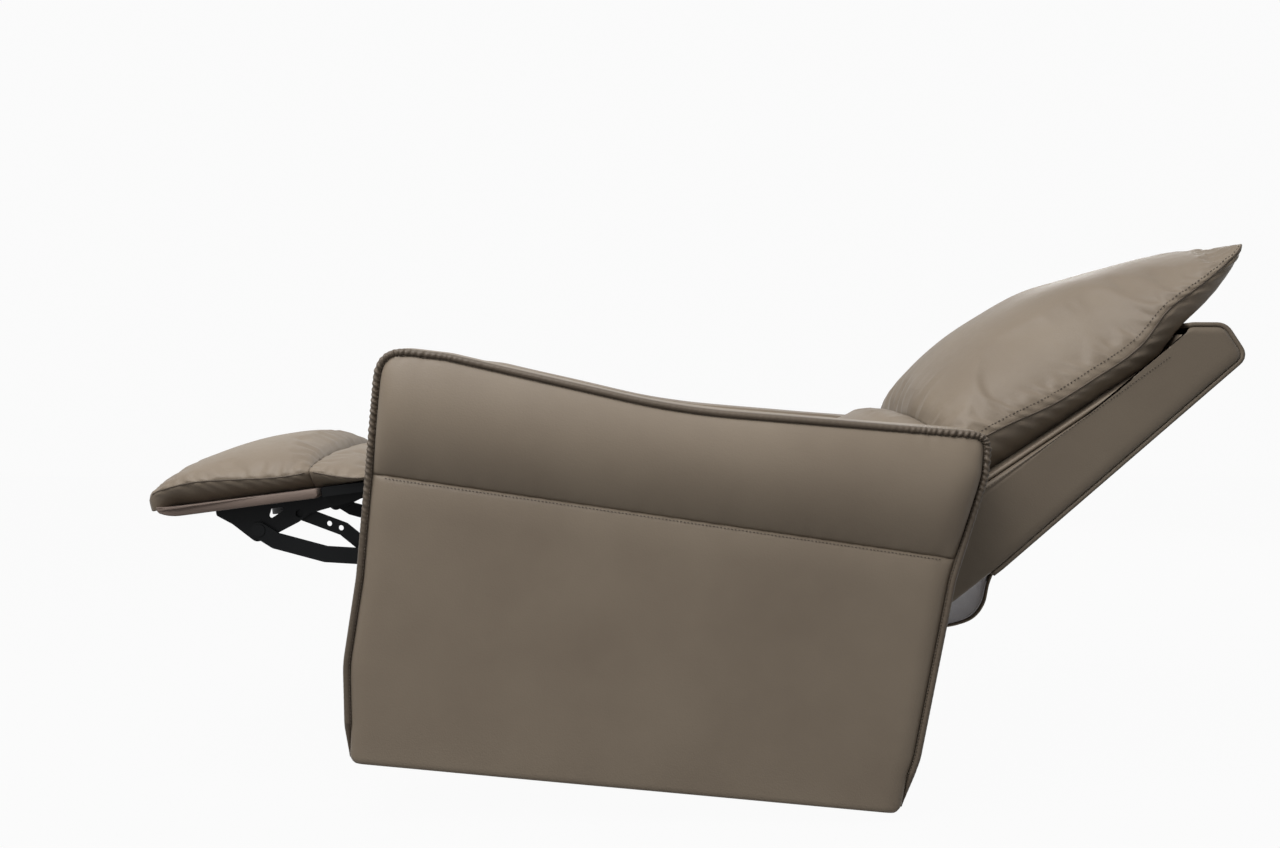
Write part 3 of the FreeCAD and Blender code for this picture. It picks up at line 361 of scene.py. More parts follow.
def plump(made, free, cap_mm, slack):
    """Blow the free part of a cover up as cloth, by cap_mm at most, with slack for its wrinkles."""
    rest = np.array([v.co for v in made.data.vertices])
    held = made.vertex_groups.new(name="held")
    held.add([int(i) for i in np.flatnonzero(~free)], 1.0, "REPLACE")
    cloth = made.modifiers.new("Cloth", "CLOTH")
    cloth.settings.vertex_group_mass = "held"
    cloth.settings.use_pressure = True
    cloth.settings.uniform_pressure_force = 3.0
    cloth.settings.shrink_min = -slack
    cloth.settings.mass = 0.4
    cloth.settings.tension_stiffness = 25
    cloth.settings.bending_stiffness = 1.5
    cloth.settings.effector_weights.gravity = 0
    cloth.collision_settings.use_collision = False
    steps = 18
    cloth.point_cache.frame_start, cloth.point_cache.frame_end = 1, steps
    for step in range(1, steps + 1):
        bpy.context.scene.frame_set(step)
    done = made.evaluated_get(bpy.context.evaluated_depsgraph_get())
    moved = np.array([v.co for v in done.data.vertices]) - rest
    made.modifiers.remove(cloth)
    made.vertex_groups.remove(held)
    bpy.context.scene.frame_set(1)
    far = np.linalg.norm(moved, axis=1, keepdims=True) * 1000
    limited = moved * (cap_mm / np.maximum(far, cap_mm))
    made.data.vertices.foreach_set("co", (rest + limited).ravel())
    made.data.update()


def waves(seed, *scaled):
    """Slow unevenness of stuffed leather, about -1 to 1."""
    rng = np.random.default_rng(seed)
    total = 0
    for _ in range(7):
        turn = rng.uniform(-1, 1, len(scaled)) * 2.2
        total = total + np.sin(sum(k * s for k, s in zip(turn, scaled)) + rng.uniform(0, 6.3))
    return total / 4


def gathers(seed, base, cross, length, pitch, lean=0.0):
    """Folds that start at a seam and die away: base is the distance from it, cross the way along."""
    rng = np.random.default_rng(seed)
    low, high = float(np.min(cross)), float(np.max(cross))
    total = np.zeros(np.broadcast(base, cross).shape)
    at = low
    while at < high:
        at += pitch * rng.uniform(0.6, 1.5)
        reach, width = length * rng.uniform(0.4, 1.2), pitch * rng.uniform(0.22, 0.4)
        off = cross - at - base * (lean + rng.uniform(-0.18, 0.18))
        fold = np.exp(-(off / width) ** 2) - 0.6 * np.exp(-((off - 1.7 * width) / width) ** 2)
        total += rng.uniform(0.4, 1.0) * fold * np.clip(1 - base / reach, 0, 1) ** 1.4
    return total


def outward(rings):
    """Directions away from a ringed cover's inside."""
    along = np.gradient(rings, axis=0)
    around = np.roll(rings, -1, 1) - np.roll(rings, 1, 1)
    out = np.cross(along, around)
    out /= np.maximum(np.linalg.norm(out, axis=2, keepdims=True), 1e-9)
    middle = rings.mean(1, keepdims=True)
    facing = np.sign(np.sum(out * (rings - middle)))
    return out * facing


def rumpled(rings, seed, start, end, seams, skirt, depth=1.0, lean=0.0):
    """Sewn-cover wrinkles in mm. start, end and seams say how far gathers reach from both ends and
    from the side seams; skirt is the pitch of the folds on the sides."""
    end_pitch, seam_pitch, side_height, side_reach = 17, 19, 40, 60
    along = path_length(rings.mean(1))[:, None]
    top = rings[:, :ACROSS]
    span = path_length(top[len(top) // 2])[None]
    lift = np.zeros(rings.shape[:2])
    face = lift[:, :ACROSS]
    face += 2.2 * gathers(seed, along, span + 0 * along, start, end_pitch)
    face += 2.2 * gathers(seed + 1, along[-1] - along, span + 0 * along, end, end_pitch)
    for k, base in ((2, span), (3, span[0, -1] - span)):
        face += 2.0 * gathers(seed + k, base, along + 0 * span, seams, seam_pitch, lean)
    face += 0.9 * waves(seed + 4, span / 60, along / 60)
    face *= np.minimum(1, np.minimum(span, span[0, -1] - span) / 4)
    drop = np.linspace(0, 1, SIDE)[None] * side_height
    fold = 1.8 * gathers(seed + 6, drop, along + 0 * drop, side_reach, skirt, 0.9)
    lift[:, ACROSS:ACROSS + SIDE] += fold
    lift[:, -SIDE:] += fold[:, ::-1]
    ends = np.minimum(1, np.minimum(along, along[-1] - along) / 6)
    return rings + outward(rings) * (depth * lift * (0.35 + 0.65 * ends))[..., None]


def cover(name, rings, place, body, node, cap_mm, slack, bulge=(0.0, 0.0)):
    """A stuffed leather cover made from rings; its top is blown up as cloth."""
    points, faces = cushion_faces(rings, bulge)
    made = piece(name, place(points), faces, taupe, body, [node])
    free = np.zeros(len(points), bool)
    inside = np.zeros(rings.shape[:2], bool)
    inside[3:-3, 3:ACROSS - 3] = True
    free[:inside.size] = inside.ravel()
    plump(made, free, cap_mm, slack)


seat_stations = [
    (-366, 244, 447, 465, 470), (-354, 252, 446, 461, 478), (-270, 256, 404, 455, 483),
    (-140, 253, 403, 450, 481), (20, 253, 403, 444, 474), (70, 252, 403, 440, 468),
    (96, 246, 410, 436, 456)]
seat_rings = rumpled(cushion_rings(seat_stations, 6.0), 30, start=40, end=40, seams=36, skirt=30)
# the lip stays above the front rail
rail_back, rail_clear = -276, 451
lip = (seat_rings[..., 1] < rail_back) & (seat_rings[..., 2] < rail_clear)
seat_rings[lip, 2] = rail_clear
cover("seat_cushion_cover", seat_rings, on_chassis, "chassis", "seat_cushion",
      cap_mm=5.0, slack=0.02, bulge=(5.0, 0.0))


# Arms: each is a timber box padded and covered in leather. A boxing strip runs round front,
# top and back between a plain inner panel and an outer face of two panels sewn together.

def unit(vectors):
    """Vectors of length 1."""
    return vectors / np.linalg.norm(vectors, axis=-1, keepdims=True)


def rounded_outline(corners):
    """Points 4 mm apart round (y, z, radius) corners, from the first corner to the last."""
    c = np.array(corners, float)
    run = []
    for i, (y, z, radius) in enumerate(c):
        here = np.array([y, z])
        to_a, to_b = c[i - 1, :2] - here, c[(i + 1) % len(c), :2] - here
        la, lb = np.linalg.norm(to_a), np.linalg.norm(to_b)
        half = math.acos(np.clip(to_a @ to_b / la / lb, -1, 1)) / 2
        reach = min(radius / math.tan(half), 0.48 * min(la, lb))
        a, b = here + to_a / la * reach, here + to_b / lb * reach
        for t in np.linspace(0, 1, 12):
            run.append((1 - t) ** 2 * a + 2 * t * (1 - t) * here + t * t * b)
    return evenly(np.array(run), spacing=4.0)


def evenly(run, count=None, spacing=None):
    """The same line with its points spread evenly."""
    length = path_length(run)
    count = count or int(length[-1] / spacing) + 1
    at = np.linspace(0, length[-1], count)
    return np.stack([np.interp(at, length, run[:, i]) for i in range(run.shape[1])], -1)


def inward(run, distance):
    """A side outline moved towards its middle; distance may differ along it."""
    along = unit(np.gradient(run, axis=0))
    return run + np.stack([along[:, 1], -along[:, 0]], -1) * np.reshape(distance, (-1, 1))


def patch(bottom, top, left, right, cols, rows):
    """Grid of points filling four sides; bottom and top run left to right, the sides upward."""
    b, t = evenly(bottom, cols)[None], evenly(top, cols)[None]
    l, r = evenly(left, rows)[:, None], evenly(right, rows)[:, None]
    s, v = np.linspace(0, 1, cols)[None, :, None], np.linspace(0, 1, rows)[:, None, None]
    flat = ((1 - v) * ((1 - s) * b[:, :1] + s * b[:, -1:])
            + v * ((1 - s) * t[:, :1] + s * t[:, -1:]))
    return (1 - v) * b + v * t + (1 - s) * l + s * r - flat


def panel(face, back_x):
    """Closed skin of a grid of points, with a flat back at one X."""
    rows, cols = face.shape[:2]
    behind = face.copy()
    behind[..., 0] = back_x
    front = strip_faces(rows, cols)
    n = rows * cols
    rim = ([c for c in range(cols)] + [r * cols + cols - 1 for r in range(1, rows)]
           + [(rows - 1) * cols + c for c in range(cols - 2, -1, -1)]
           + [r * cols for r in range(rows - 2, 0, -1)])
    faces = front + [tuple(i + n for i in f[::-1]) for f in front]
    faces += [(rim[i], rim[i - 1], rim[i - 1] + n, rim[i] + n) for i in range(len(rim))]
    return np.vstack([face.reshape(-1, 3), behind.reshape(-1, 3)]), faces


SIDES = (("left", 1), ("right", -1))


def both_sides(name, points, faces, material, node=None):
    """The left piece and its mirror image on the right, each in place of its node."""
    made = []
    for side, sign in SIDES:
        nodes = [node.format(side)] if node else []
        made.append(piece(name + "_" + side, on_chassis(points * [sign, 1, 1]), faces, material,
                          "chassis", nodes))
    return made


def rolled(distance, width):
    """Rise of a padded edge, from 0 at the seam to 1 a width away."""
    return np.sqrt(1 - (1 - np.clip(distance / width, 0, 1)) ** 2)


def pillowed(distance, span, width):
    """Rise of a face padded between two seams that are a span apart."""
    return rolled(distance, width) * rolled(span - distance, width)


def thread():
    """Bonded polyester topstitch thread: darker than the hide, with a twisted lay."""
    made, tree, shader, place = new_material("brown_topstitch_thread")
    twist_mm = 1.2
    tint(tree, shader, noise(tree, place, twist_mm, 1.0), "#3B332B", "#5A5044")
    shader.inputs["Roughness"].default_value = 0.6
    return made


stitch_thread = thread()


def stitches(name, run, out, place, body, pitch=5.0):
    """A row of sewn stitches along a line in mm; out points away from the leather."""
    width = 1.1
    dots = evenly(np.hstack([run, np.broadcast_to(out, run.shape)]), spacing=pitch / 2)
    tip = np.array([[0.31, 0, 0], [0.16, 0.5, 0.5], [0.16, -0.5, 0.5], [-0.16, 0.5, 0.5],
                    [-0.16, -0.5, 0.5], [-0.31, 0, 0], [0.16, 0.5, -0.5], [0.16, -0.5, -0.5],
                    [-0.16, 0.5, -0.5], [-0.16, -0.5, -0.5]])
    facets = [(0, 2, 1), (1, 2, 4, 3), (3, 4, 5), (0, 1, 6), (0, 7, 2), (0, 6, 7), (6, 8, 9, 7),
              (5, 4, 9), (5, 8, 3), (5, 9, 8), (1, 3, 8, 6), (2, 7, 9, 4)]
    points, faces = [], []
    for i in range(1, len(dots) - 1, 2):
        along = unit(dots[i + 1, :3] - dots[i - 1, :3])
        up = unit(dots[i, 3:])
        axes = np.stack([along * pitch, np.cross(up, along) * width, up * width * 0.7])
        faces += [tuple(j + len(points) for j in f) for f in facets]
        points += list(dots[i, :3] + tip @ axes)
    piece(name, place(np.array(points)), faces, stitch_thread, body)


arm_corners = [
    (-365, 46, 14), (-377, 96, 120), (-387, 181, 160), (-380, 301, 160), (-382, 619, 66),
    (-284, 616.5, 120), (40, 573, 1100), (469, 577, 40), (468, 515, 60), (437, 371, 120),
    (411, 125, 80), (390, 46, 12)]
arm_side = rounded_outline(arm_corners)
arm_hem, frame_x, face_x = 46.0, 277.0, 372.0
panel_length, panel_height, bolster_height = 840.0, 385.0, 140.0
panel_cols, bolster_rows, lower_rows = 170, 46, 84


def seam_height(y):
    """Height of the seam between the outer panels, falling from front to back."""
    seam_front, seam_run = -379.0, 848.0
    return 444.0 - 45.5 * (y - seam_front) / seam_run


def hem_tuck(run):
    """Share of the welt's width that is left along an outline, less near the hem."""
    return np.clip((run[:, 1] - arm_hem) / 55, 0.12, 1)


# the two outer panels meet in the seam and end under the welt
edge = inward(arm_side, 9.0 * hem_tuck(arm_side))
above = edge[:, 1] > seam_height(edge[:, 0])
first, last = np.flatnonzero(above)[[0, -1]]
front_top = first + int(np.argmax((edge[:, 1] - edge[:, 0])[first:last]))
back_top = first + int(np.argmax((edge[:, 1] + edge[:, 0])[first:last]))
seam_y = np.linspace(edge[first, 0], edge[last, 0], 200)
seam = np.stack([seam_y, seam_height(seam_y)], -1)
front_side = np.vstack([seam[:1], edge[first:front_top + 1]])
back_side = np.vstack([seam[-1:], edge[back_top:last + 1][::-1]])
flat = patch(seam, edge[front_top:back_top + 1], front_side, back_side, panel_cols, bolster_rows)
length = np.linspace(0, panel_length, panel_cols)[None]
rise = np.linspace(0, 1, bolster_rows)[:, None]
full = 6.0 * (1 - np.abs(2 * rise - 1) ** 2.1) ** 0.72 + 16.0 * (1 - (2 * rise - 1) ** 2)
bolster = 5.5 * pillowed(length, panel_length, 14) + full * pillowed(length, panel_length, 46)
bolster += 1.0 * waves(3, length / 120, rise * 2) * np.sin(math.pi * rise)
bolster += 0.8 * gathers(5, rise * bolster_height, length + 0 * rise, 30, 22)
corners = np.clip((length - 700) / 90, 0, 1) + np.clip((90 - length) / 60, 0, 1)
bolster += 1.6 * gathers(6, (1 - rise) * bolster_height, length + 0 * rise, 26, 16) * corners
upper = np.concatenate([(face_x + 2 + bolster)[..., None], flat], -1)
points, faces = panel(upper, face_x + 0.3)
for made in both_sides("arm_bolster", points, faces, taupe, "arm_upper_panel_{}"):
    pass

hem_front, hem_back, hem_round, hem_lift = -363.0, 387.0, 13.0, 9.0
hem = np.linspace(hem_front, hem_back, 300)
from_end = np.minimum(hem - hem_front, hem_back - hem)
bottom = np.stack([hem, arm_hem + hem_lift * np.clip(1 - from_end / hem_round, 0, 1) ** 2.2], -1)
rows = np.arange(len(edge))
over_hem = edge[:, 1] > arm_hem + 10
front_side = np.vstack([bottom[:1], edge[(rows < first) & over_hem], seam[:1]])
back_side = np.vstack([bottom[-1:], edge[(rows > last) & over_hem][::-1], seam[-1:]])
flat = patch(bottom, seam, front_side, back_side, panel_cols, lower_rows)
rise = np.linspace(0, panel_height, lower_rows)[:, None]
swell = 5.5 + 7.0 * rolled(panel_height - rise, 48)
swell = swell * pillowed(length, panel_length, 34) * rolled(rise, 9)
uneven = 1.1 * waves(9, length / 150, rise / 130)
swell += uneven * pillowed(length, panel_length, 90) * pillowed(rise, panel_height, 60)
swell += 0.7 * gathers(8, panel_height - rise, length + 0 * rise, 34, 26)
lower = np.concatenate([(face_x + 2 + swell)[..., None], flat], -1)
points, faces = panel(lower, face_x + 0.3)
for made in both_sides("arm_side_panel", points, faces, taupe, "arm_lower_panel_{}"):
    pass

row = lower[-1] - [0, 0, 3.2]
row[:, 0] = lower[-2][:, 0] + 0.5
for side, sign in SIDES:
    stitches("arm_seam_stitches_" + side, row[4:-4] * [sign, 1, 1], [sign, 0.0, 0.0],
             on_chassis, "chassis")

# inner panel, plain and lightly padded
inner_length, inner_height, inner_cols, inner_rows = 820.0, 520.0, 120, 70
inner_edge = inward(arm_side, 3.0)
split_a = int(np.argmax(inner_edge[:, 1] - inner_edge[:, 0]))
split_b = int(np.argmax(inner_edge[:, 1] + inner_edge[:, 0]))
flat = patch(inner_edge[[0, -1]], inner_edge[split_a:split_b + 1], inner_edge[:split_a + 1],
             inner_edge[split_b:][::-1], inner_cols, inner_rows)
across = np.linspace(0, inner_length, inner_cols)[None]
up = np.linspace(0, inner_height, inner_rows)[:, None]
swell = 11.0 * pillowed(across, inner_length, 40) * rolled(up, 25) * rolled(inner_height - up, 60)
swell += 0.8 * waves(12, across / 160, up / 140) * pillowed(across, inner_length, 90)
inside = np.concatenate([(frame_x - 0.6 - np.clip(swell, 0, 11.2))[..., None], flat], -1)
points, faces = panel(inside, frame_x - 0.3)
inner_pair = both_sides("arm_inner_panel", points, faces, taupe)
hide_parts("arm_inner_pads")


def swept(run, offsets, xs):
    """Skin of a closed profile carried along the arm's side: offsets go inward, xs across."""
    rows = [np.concatenate([x[:, None], inward(run, offset)], -1) for x, offset in zip(xs, offsets)]
    return np.stack(rows, 1).reshape(-1, 3), tube_faces(len(run), len(xs))


# boxing strip, crowned over its wadding, puckered where it turns the two top corners
band = arm_side[arm_side[:, 1] > arm_hem + 6]
travel = path_length(band)
front_corner = travel[int(np.argmax(band[:, 1] - band[:, 0]))]
back_corner = travel[int(np.argmax(band[:, 1] + band[:, 0]))]


def puckered(travel, lead, front_reach, back_reach):
    """Gathering along the outline: full just before the front top corner and at the back one."""
    front = np.exp(-((travel - front_corner + lead) / front_reach) ** 2)
    return front + np.exp(-((travel - back_corner) / back_reach) ** 2)


pucker = puckered(travel, 55, 90, 75)
offsets, xs = [], []
for share in np.linspace(0, 1, 25):
    crown = 3.2 * (1 - abs(2 * share - 1) ** 2.4) - 1.2
    ripple = 0.9 * pucker * np.sin(travel / 7.5 + 5 * share) * abs(2 * share - 1)
    offsets.append(-(crown + ripple + 0.5 * waves(21, travel / 60, share * 3 + 0 * travel)))
    xs.append(np.full(len(band), frame_x + 0.3 + (face_x - frame_x - 0.6) * share))
for x in (face_x - 0.4, frame_x + 0.4):
    offsets.append(np.full(len(band), 15.0))
    xs.append(np.full(len(band), x))
points, faces = swept(band, offsets, xs)
for made in both_sides("arm_boxing_strip", points, faces, taupe, "arm_boxing_{}"):
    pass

# welt: a folded leather flange stood up round the outer face, gathered at the top corners
# the darker welt leather also goes on the pads' and pillow's seam flanges, where its darkness is
# painted shade along each seam
welt_and_seam_shade_leather = leather_hide("dark_welt_and_painted_seam_shade_leather", "#50463B", "#5B5044", 0.3)
band = evenly(band, spacing=1.4)
travel = path_length(band)
gather = np.clip(1.3 * puckered(travel, 75, 120, 85) + 0.08, 0, 1.2)
fade = np.clip((band[:, 1] - arm_hem - 10) / 46, 0.1, 1)
tuck = hem_tuck(band)
offsets, xs = [], []
for inset, height in ((0.0, 0.5), (0.0, 6.0), (1.2, 10.5), (3.2, 12.6), (5.6, 13.0), (8.0, 12.0),
                      (9.8, 9.0), (10.6, 5.0), (10.8, 0.5)):
    lay = travel / 1.3 + 1.5 * np.sin(travel / 13) + 0.38 * inset
    crest = gather * (np.sin(lay) + 0.35 * np.sin(0.6 * lay + 1)) * min(1, height / 9)
    offsets.append(inset * tuck - 0.3 * crest * (inset < 4))
    xs.append(face_x + height * fade + 1.5 * crest - 1.2)
points, faces = swept(band, offsets, xs)
both_sides("arm_edge_welt", points, faces, welt_and_seam_shade_leather, "arm_welt_{}")
row = np.concatenate([(face_x + 9.6 * fade)[:, None], inward(band, 9.9 * tuck)], -1)[30:-30]
for side, sign in SIDES:
    stitches("arm_welt_stitches_" + side, row * [sign, 1, 1], [sign, 0.0, 0.0],
             on_chassis, "chassis", pitch=4.5)

# rear valance: a leather panel closing the back between the arms
half_valance, valance_low, valance_high, valance_y = 262.0, 71.0, 284.0, 371.0
across = np.linspace(-half_valance, half_valance, 80)[None]
up = np.linspace(valance_low, valance_high, 40)[:, None]
depth = 8.0 * pillowed(across + half_valance, 2 * half_valance, 40)
depth = depth * pillowed(up - valance_low, valance_high - valance_low, 25)
depth = np.clip(depth + 1.0 * waves(31, across / 90, up / 70), -2, 9)
face = np.stack([valance_y + depth, across + 0 * depth, up + 0 * depth], -1)
points, faces = panel(face, valance_y - 5)
valance = piece("rear_valance_panel", on_chassis(points[:, [1, 0, 2]]), faces, taupe, "chassis",
                ["rear_valance"])


# Footrest: a padded board in the same leather, with a large foot pad and a small calf pad
# sewn together in a tuck, carried by the steel brackets.

def tilted(points, degrees, pivot_y, pivot_z):
    """Points (across, along, up) in mm, tilted at a pivot on the chassis and put in place in metres."""
    tilt = math.radians(degrees)
    p = np.asarray(points, float)
    u, n = p[..., 1], p[..., 2]
    return on_chassis(np.stack([p[..., 0], pivot_y + u * math.cos(tilt) - n * math.sin(tilt),
                                pivot_z + u * math.sin(tilt) + n * math.cos(tilt)], -1))


def on_footrest(points):
    """Points drawn on the flat footrest, put in place."""
    return tilted(points, 12.7, -471, 390)


def flange(name, run, out, place, body, reach, thick):
    """A sewn seam edge standing out of a cover, in the darker welt leather, which paints a shade line
    along the seam.
    """
    out = np.broadcast_to(np.array(out, float), run.shape)
    along = unit(np.gradient(run, axis=0))
    up = unit(np.cross(out, along))
    section = [(-0.7, -0.5), (0.4, -0.5), (0.85, -0.4), (1.0, 0.0),
               (0.85, 0.4), (0.4, 0.5), (-0.7, 0.5)]
    rings = np.stack([run + out * (reach * a) + up * (thick * b) for a, b in section], 1)
    piece(name, place(rings.reshape(-1, 3)), tube_faces(len(run), len(section)), welt_and_seam_shade_leather, body)


board_leather = leather_hide("board_wrap_leather", "#6B5D55", "#75675E", 0.3)
board_half, edge_round = 257.5, 2.5
curl = np.linspace(0, math.pi / 2, 24)
nose = np.stack([-204 - 40 * np.sin(curl), 16 - 16 * np.cos(curl)], -1)
loop = np.vstack([[(-2, 3), (-5, 0)], nose, [(-241, 17), (-232, 15.4), (-214, 14.4), (-5, 13.8),
                                             (-2, 11), (-2, 3)]])
loop = evenly(loop, spacing=3.0)[:-1]
centre = np.array([-114.0, 7.0])
narrow = np.interp(loop[:, 0], [-251, -236, -214], [0.95, 0.984, 1.0])
rings = []
for x in board_half * np.sin(np.linspace(-1, 1, 90) * math.pi / 2):
    ease = rolled(board_half - abs(x) + 0.3, edge_round)
    shrink = np.where(loop > centre, 1, -1) * (1 - ease) * [edge_round, 2.0]
    rings.append(np.concatenate([(x * narrow)[:, None], loop - shrink], 1))
rings = np.array(rings)
rings[..., 2] += 0.25 * waves(40, rings[..., 0] / 70, rings[..., 1] / 50) * (rings[..., 2] < 4)
piece("footrest_board_wrap", on_footrest(rings.reshape(-1, 3)), tube_faces(*rings.shape[:2]),
      board_leather, "footrest", ["footrest_board"])


foot_stations = [
    (-253, 244, 12, 28, 42), (-249, 248, 11, 33, 51), (-240, 252, 12.6, 38, 62),
    (-221, 258, 15.3, 42, 74), (-190, 261, 14.7, 46, 83), (-112, 260, 14.4, 42, 96),
    (-62, 261, 14.4, 38, 95), (-28, 259, 14.4, 38, 86), (-17, 257, 14.4, 39, 75),
    (-11, 254, 14.4, 40, 60)]
calf_stations = [
    (-10.4, 254, 14.4, 40, 58), (0, 257, 14.4, 37, 63), (22, 259, 14.4, 30, 64),
    (50, 259, 14.5, 23, 57), (62, 258, 14.8, 21, 51), (70, 256, 16, 21, 45), (78, 247, 18.4, 23, 35)]
rings = cushion_rings(foot_stations, 4.0, tuck=((-245, -215), (4, 28)))
foot_rings = rumpled(rings, 50, start=30, end=60, seams=34, skirt=21, depth=1.3)
cover("foot_pad_cover", foot_rings, on_footrest, "footrest", "foot_pad",
      cap_mm=3.0, slack=0.02, bulge=(6.5, 0.0))
rings = cushion_rings(calf_stations, 3.0, tuck=((0,), (22,)))
calf_rings = rumpled(rings, 60, start=50, end=14, seams=18, skirt=17, depth=1.2)
cover("calf_pad_cover", calf_rings, on_footrest, "footrest", "calf_pad",
      cap_mm=3.0, slack=0.02)
# the pads' seam flanges carry the darker welt leather as a painted shade line beside each seam
for side, sign in SIDES:
    seam_col = ACROSS - 1 if side == "left" else 0
    for part, rings in (("foot", foot_rings), ("calf", calf_rings)):
        line = rings[2:-2, seam_col] - [sign * 1.2, 0, 0]
        flange(part + "_pad_seam_" + side, line, [sign, 0.0, 0.0], on_footrest, "footrest",
               reach=2.2, thick=2.4)


# Back: a wedge of leather-covered shell with a lumbar pad and a loose head pillow on its
# front. The rear cover stops at a slack skirt with a pale grey lining that hides the hinge.

def on_back(points):
    """Points drawn on the back (across, up the back, forward), put in place."""
    return tilted(points, 43, 235, 315)


# a darker copy of the taupe leather; its darker tone is painted shade on the back shell's side and rear
# panels
shell_leather_painted_shade = leather_hide("shell_leather_painted_shade", "#685D50", "#716658", 0.3)
shell_corners = [(95, -32, 8), (107, -112, 20), (170, -156, 30), (266, -156, 60), (737, -131, 14),
                 (741, -80, 20), (700, -48, 10), (666, -71, 10)]
shell = rounded_outline(shell_corners)
shell = np.vstack([shell, shell[:1]])
shell_turns = ((98, -34), (168, -153), (733, -131), (666, -71))
low_front, low_rear, top_rear, top_front = [
    int(np.argmin(np.linalg.norm(shell - turn, axis=1))) for turn in shell_turns]
deck_line = np.vstack([shell[top_front:], shell[:low_front + 1]])[::-1]
shell_length, shell_depth, shell_cols, shell_rows, side_x = 570.0, 100.0, 150, 40, 249.5
flat = patch(shell[low_rear:top_rear + 1], deck_line, shell[low_front:low_rear + 1][::-1],
             shell[top_rear:top_front + 1], shell_cols, shell_rows)
length = np.linspace(0, shell_length, shell_cols)[None]
rise = np.linspace(0, shell_depth, shell_rows)[:, None]
swell = 6.0 * pillowed(length, shell_length, 12) * rolled(rise, 16) * rolled(shell_depth - rise, 10)
swell += 0.7 * waves(71, length / 90, rise / 60) * pillowed(rise, shell_depth, 40)
sewn_groove = np.exp(-((rise - 86) / 2.6) ** 2)
swell -= 1.1 * sewn_groove * pillowed(length, shell_length, 20)
side_face = np.concatenate([(side_x + 0.3 + np.clip(swell, 0, 6.3))[..., None], flat], -1)
points, faces = panel(side_face, side_x)
for side, sign in SIDES:
    made = piece("back_side_panel_" + side, on_back(points * [sign, 1, 1]), faces, shell_leather_painted_shade,
                 "back", ["back_side_cover_" + side])
    row = (side_face[36, 6:-6] + [1.0, 0, 0]) * [sign, 1, 1]
    stitches("back_side_stitches_" + side, row, [sign, 0.0, 0.0], on_back, "back")


def at_each(xs, lines):
    """Side lines, one for each X, as points."""
    return np.concatenate([np.broadcast_to(xs[:, None, None], lines.shape[:2] + (1,)), lines], -1)


def doubled_faces(rows, cols):
    """Quads round two skins laid together, whose rings run out along one and back along the other."""
    around = 2 * cols
    faces = strip_faces(rows, around, close_cols=True)
    for row in (0, rows - 1):
        start, stop = row * around, (row + 1) * around - 1
        faces += [(start + i, start + i + 1, stop - 1 - i, stop - i) for i in range(cols - 1)]
    return faces


def skin_strip(run, thick, half, crown, seed):
    """A closed leather skin across the chair, from an outer line and a thickness inward."""
    xs = np.linspace(-half, half, 70)
    edge_fall = rolled(half - np.abs(xs), 14)[:, None]
    uneven = 0.5 * waves(seed, xs[:, None] / 80, np.arange(len(run))[None] / 16)
    swell = np.clip(crown * edge_fall - crown + uneven * edge_fall, -crown, 1.2)
    outer = run - (inward(run, 1) - run) * swell[..., None]
    inner = np.broadcast_to(inward(run, thick), outer.shape)
    rings = np.concatenate([at_each(xs, outer), at_each(xs, inner)[:, ::-1]], 1)
    return rings.reshape(-1, 3), doubled_faces(len(xs), len(run))


rear_run = shell[(shell[:, 0] > 246) & (shell[:, 1] < -120) | (shell[:, 0] > 697.5)]
points, faces = skin_strip(rear_run, 6.8, 251.0, 0.8, 73)
made = piece("back_rear_panel", on_back(points), faces, shell_leather_painted_shade, "back",
             ["back_cover"])


def lining_cloth():
    """Pale grey non-woven polyester: matt, with a fine fibre speckle."""
    made, tree, shader, place = new_material("grey_lining_cloth")
    fibre_mm = 2.0
    fibre = noise(tree, place, fibre_mm, 3.0)
    tint(tree, shader, fibre, "#D6D5DA", "#E8E7EB")
    relief(tree, shader, fibre, 0.3, 0.0004)
    shader.inputs["Roughness"].default_value = 0.9
    return made


grey_lining = lining_cloth()
deck_top, deck_foot = 695.0, 146.0
deck_turns = [(deck_top, -51.4), (690.0, -54.9), (666.0, -71.0), (deck_foot, -35.5)]
deck_run = evenly(np.array(deck_turns), spacing=8.0)
deck_run = deck_run[(deck_run[:, 0] < deck_top) & (deck_run[:, 0] > deck_foot)]
points, faces = skin_strip(deck_run, 6.6, 249.0, 1.0, 75)
piece("back_deck_cloth", on_back(points), faces, taupe, "back", ["back_deck"])

lumbar_stations = [
    (-34, 226, 12, 60, 124), (-18, 236, -2, 66, 135), (50, 240, -14, 60, 138), (120, 252, -28, 40, 135),
    (200, 255, -38.5, 22, 130), (262, 255, -42.8, 12, 118), (300, 250, -45.4, 10, 104),
    (317, 236, -41.6, 24, 82)]
pillow_stations = [
    (318.4, 236, -38.8, 24, 75), (334, 251, -45.8, 15, 92), (362, 254, -49, 8, 104),
    (395, 256, -52.1, 2, 112),
    (470, 254, -57.2, -16, 119), (540, 252, -62, -24, 115), (630, 252, -64.1, -27, 99),
    (690, 255, -44, -10, 75), (750, 256, -36, -10, 52), (800, 254, -24, -8, 28),
    (826, 251, -14, -5, 12), (838, 246, -8, -2, 5)]
rings = cushion_rings(lumbar_stations, 5.0)
rings = rumpled(rings, 80, start=30, end=70, seams=40, skirt=24, depth=1.5)
cover("lumbar_cover", rings, on_back, "back", "lumbar_cushion", cap_mm=4.0, slack=0.02)
rings = cushion_rings(pillow_stations, 4.0, tuck=((560, 690), (46, 16)))
pillow_rings = rumpled(rings, 90, start=105, end=70, seams=60, skirt=26, depth=2.2, lean=-0.6)
cover("head_pillow_cover", pillow_rings, on_back, "back", "head_pillow",
      cap_mm=4.0, slack=0.03, bulge=(0.0, 4.0))
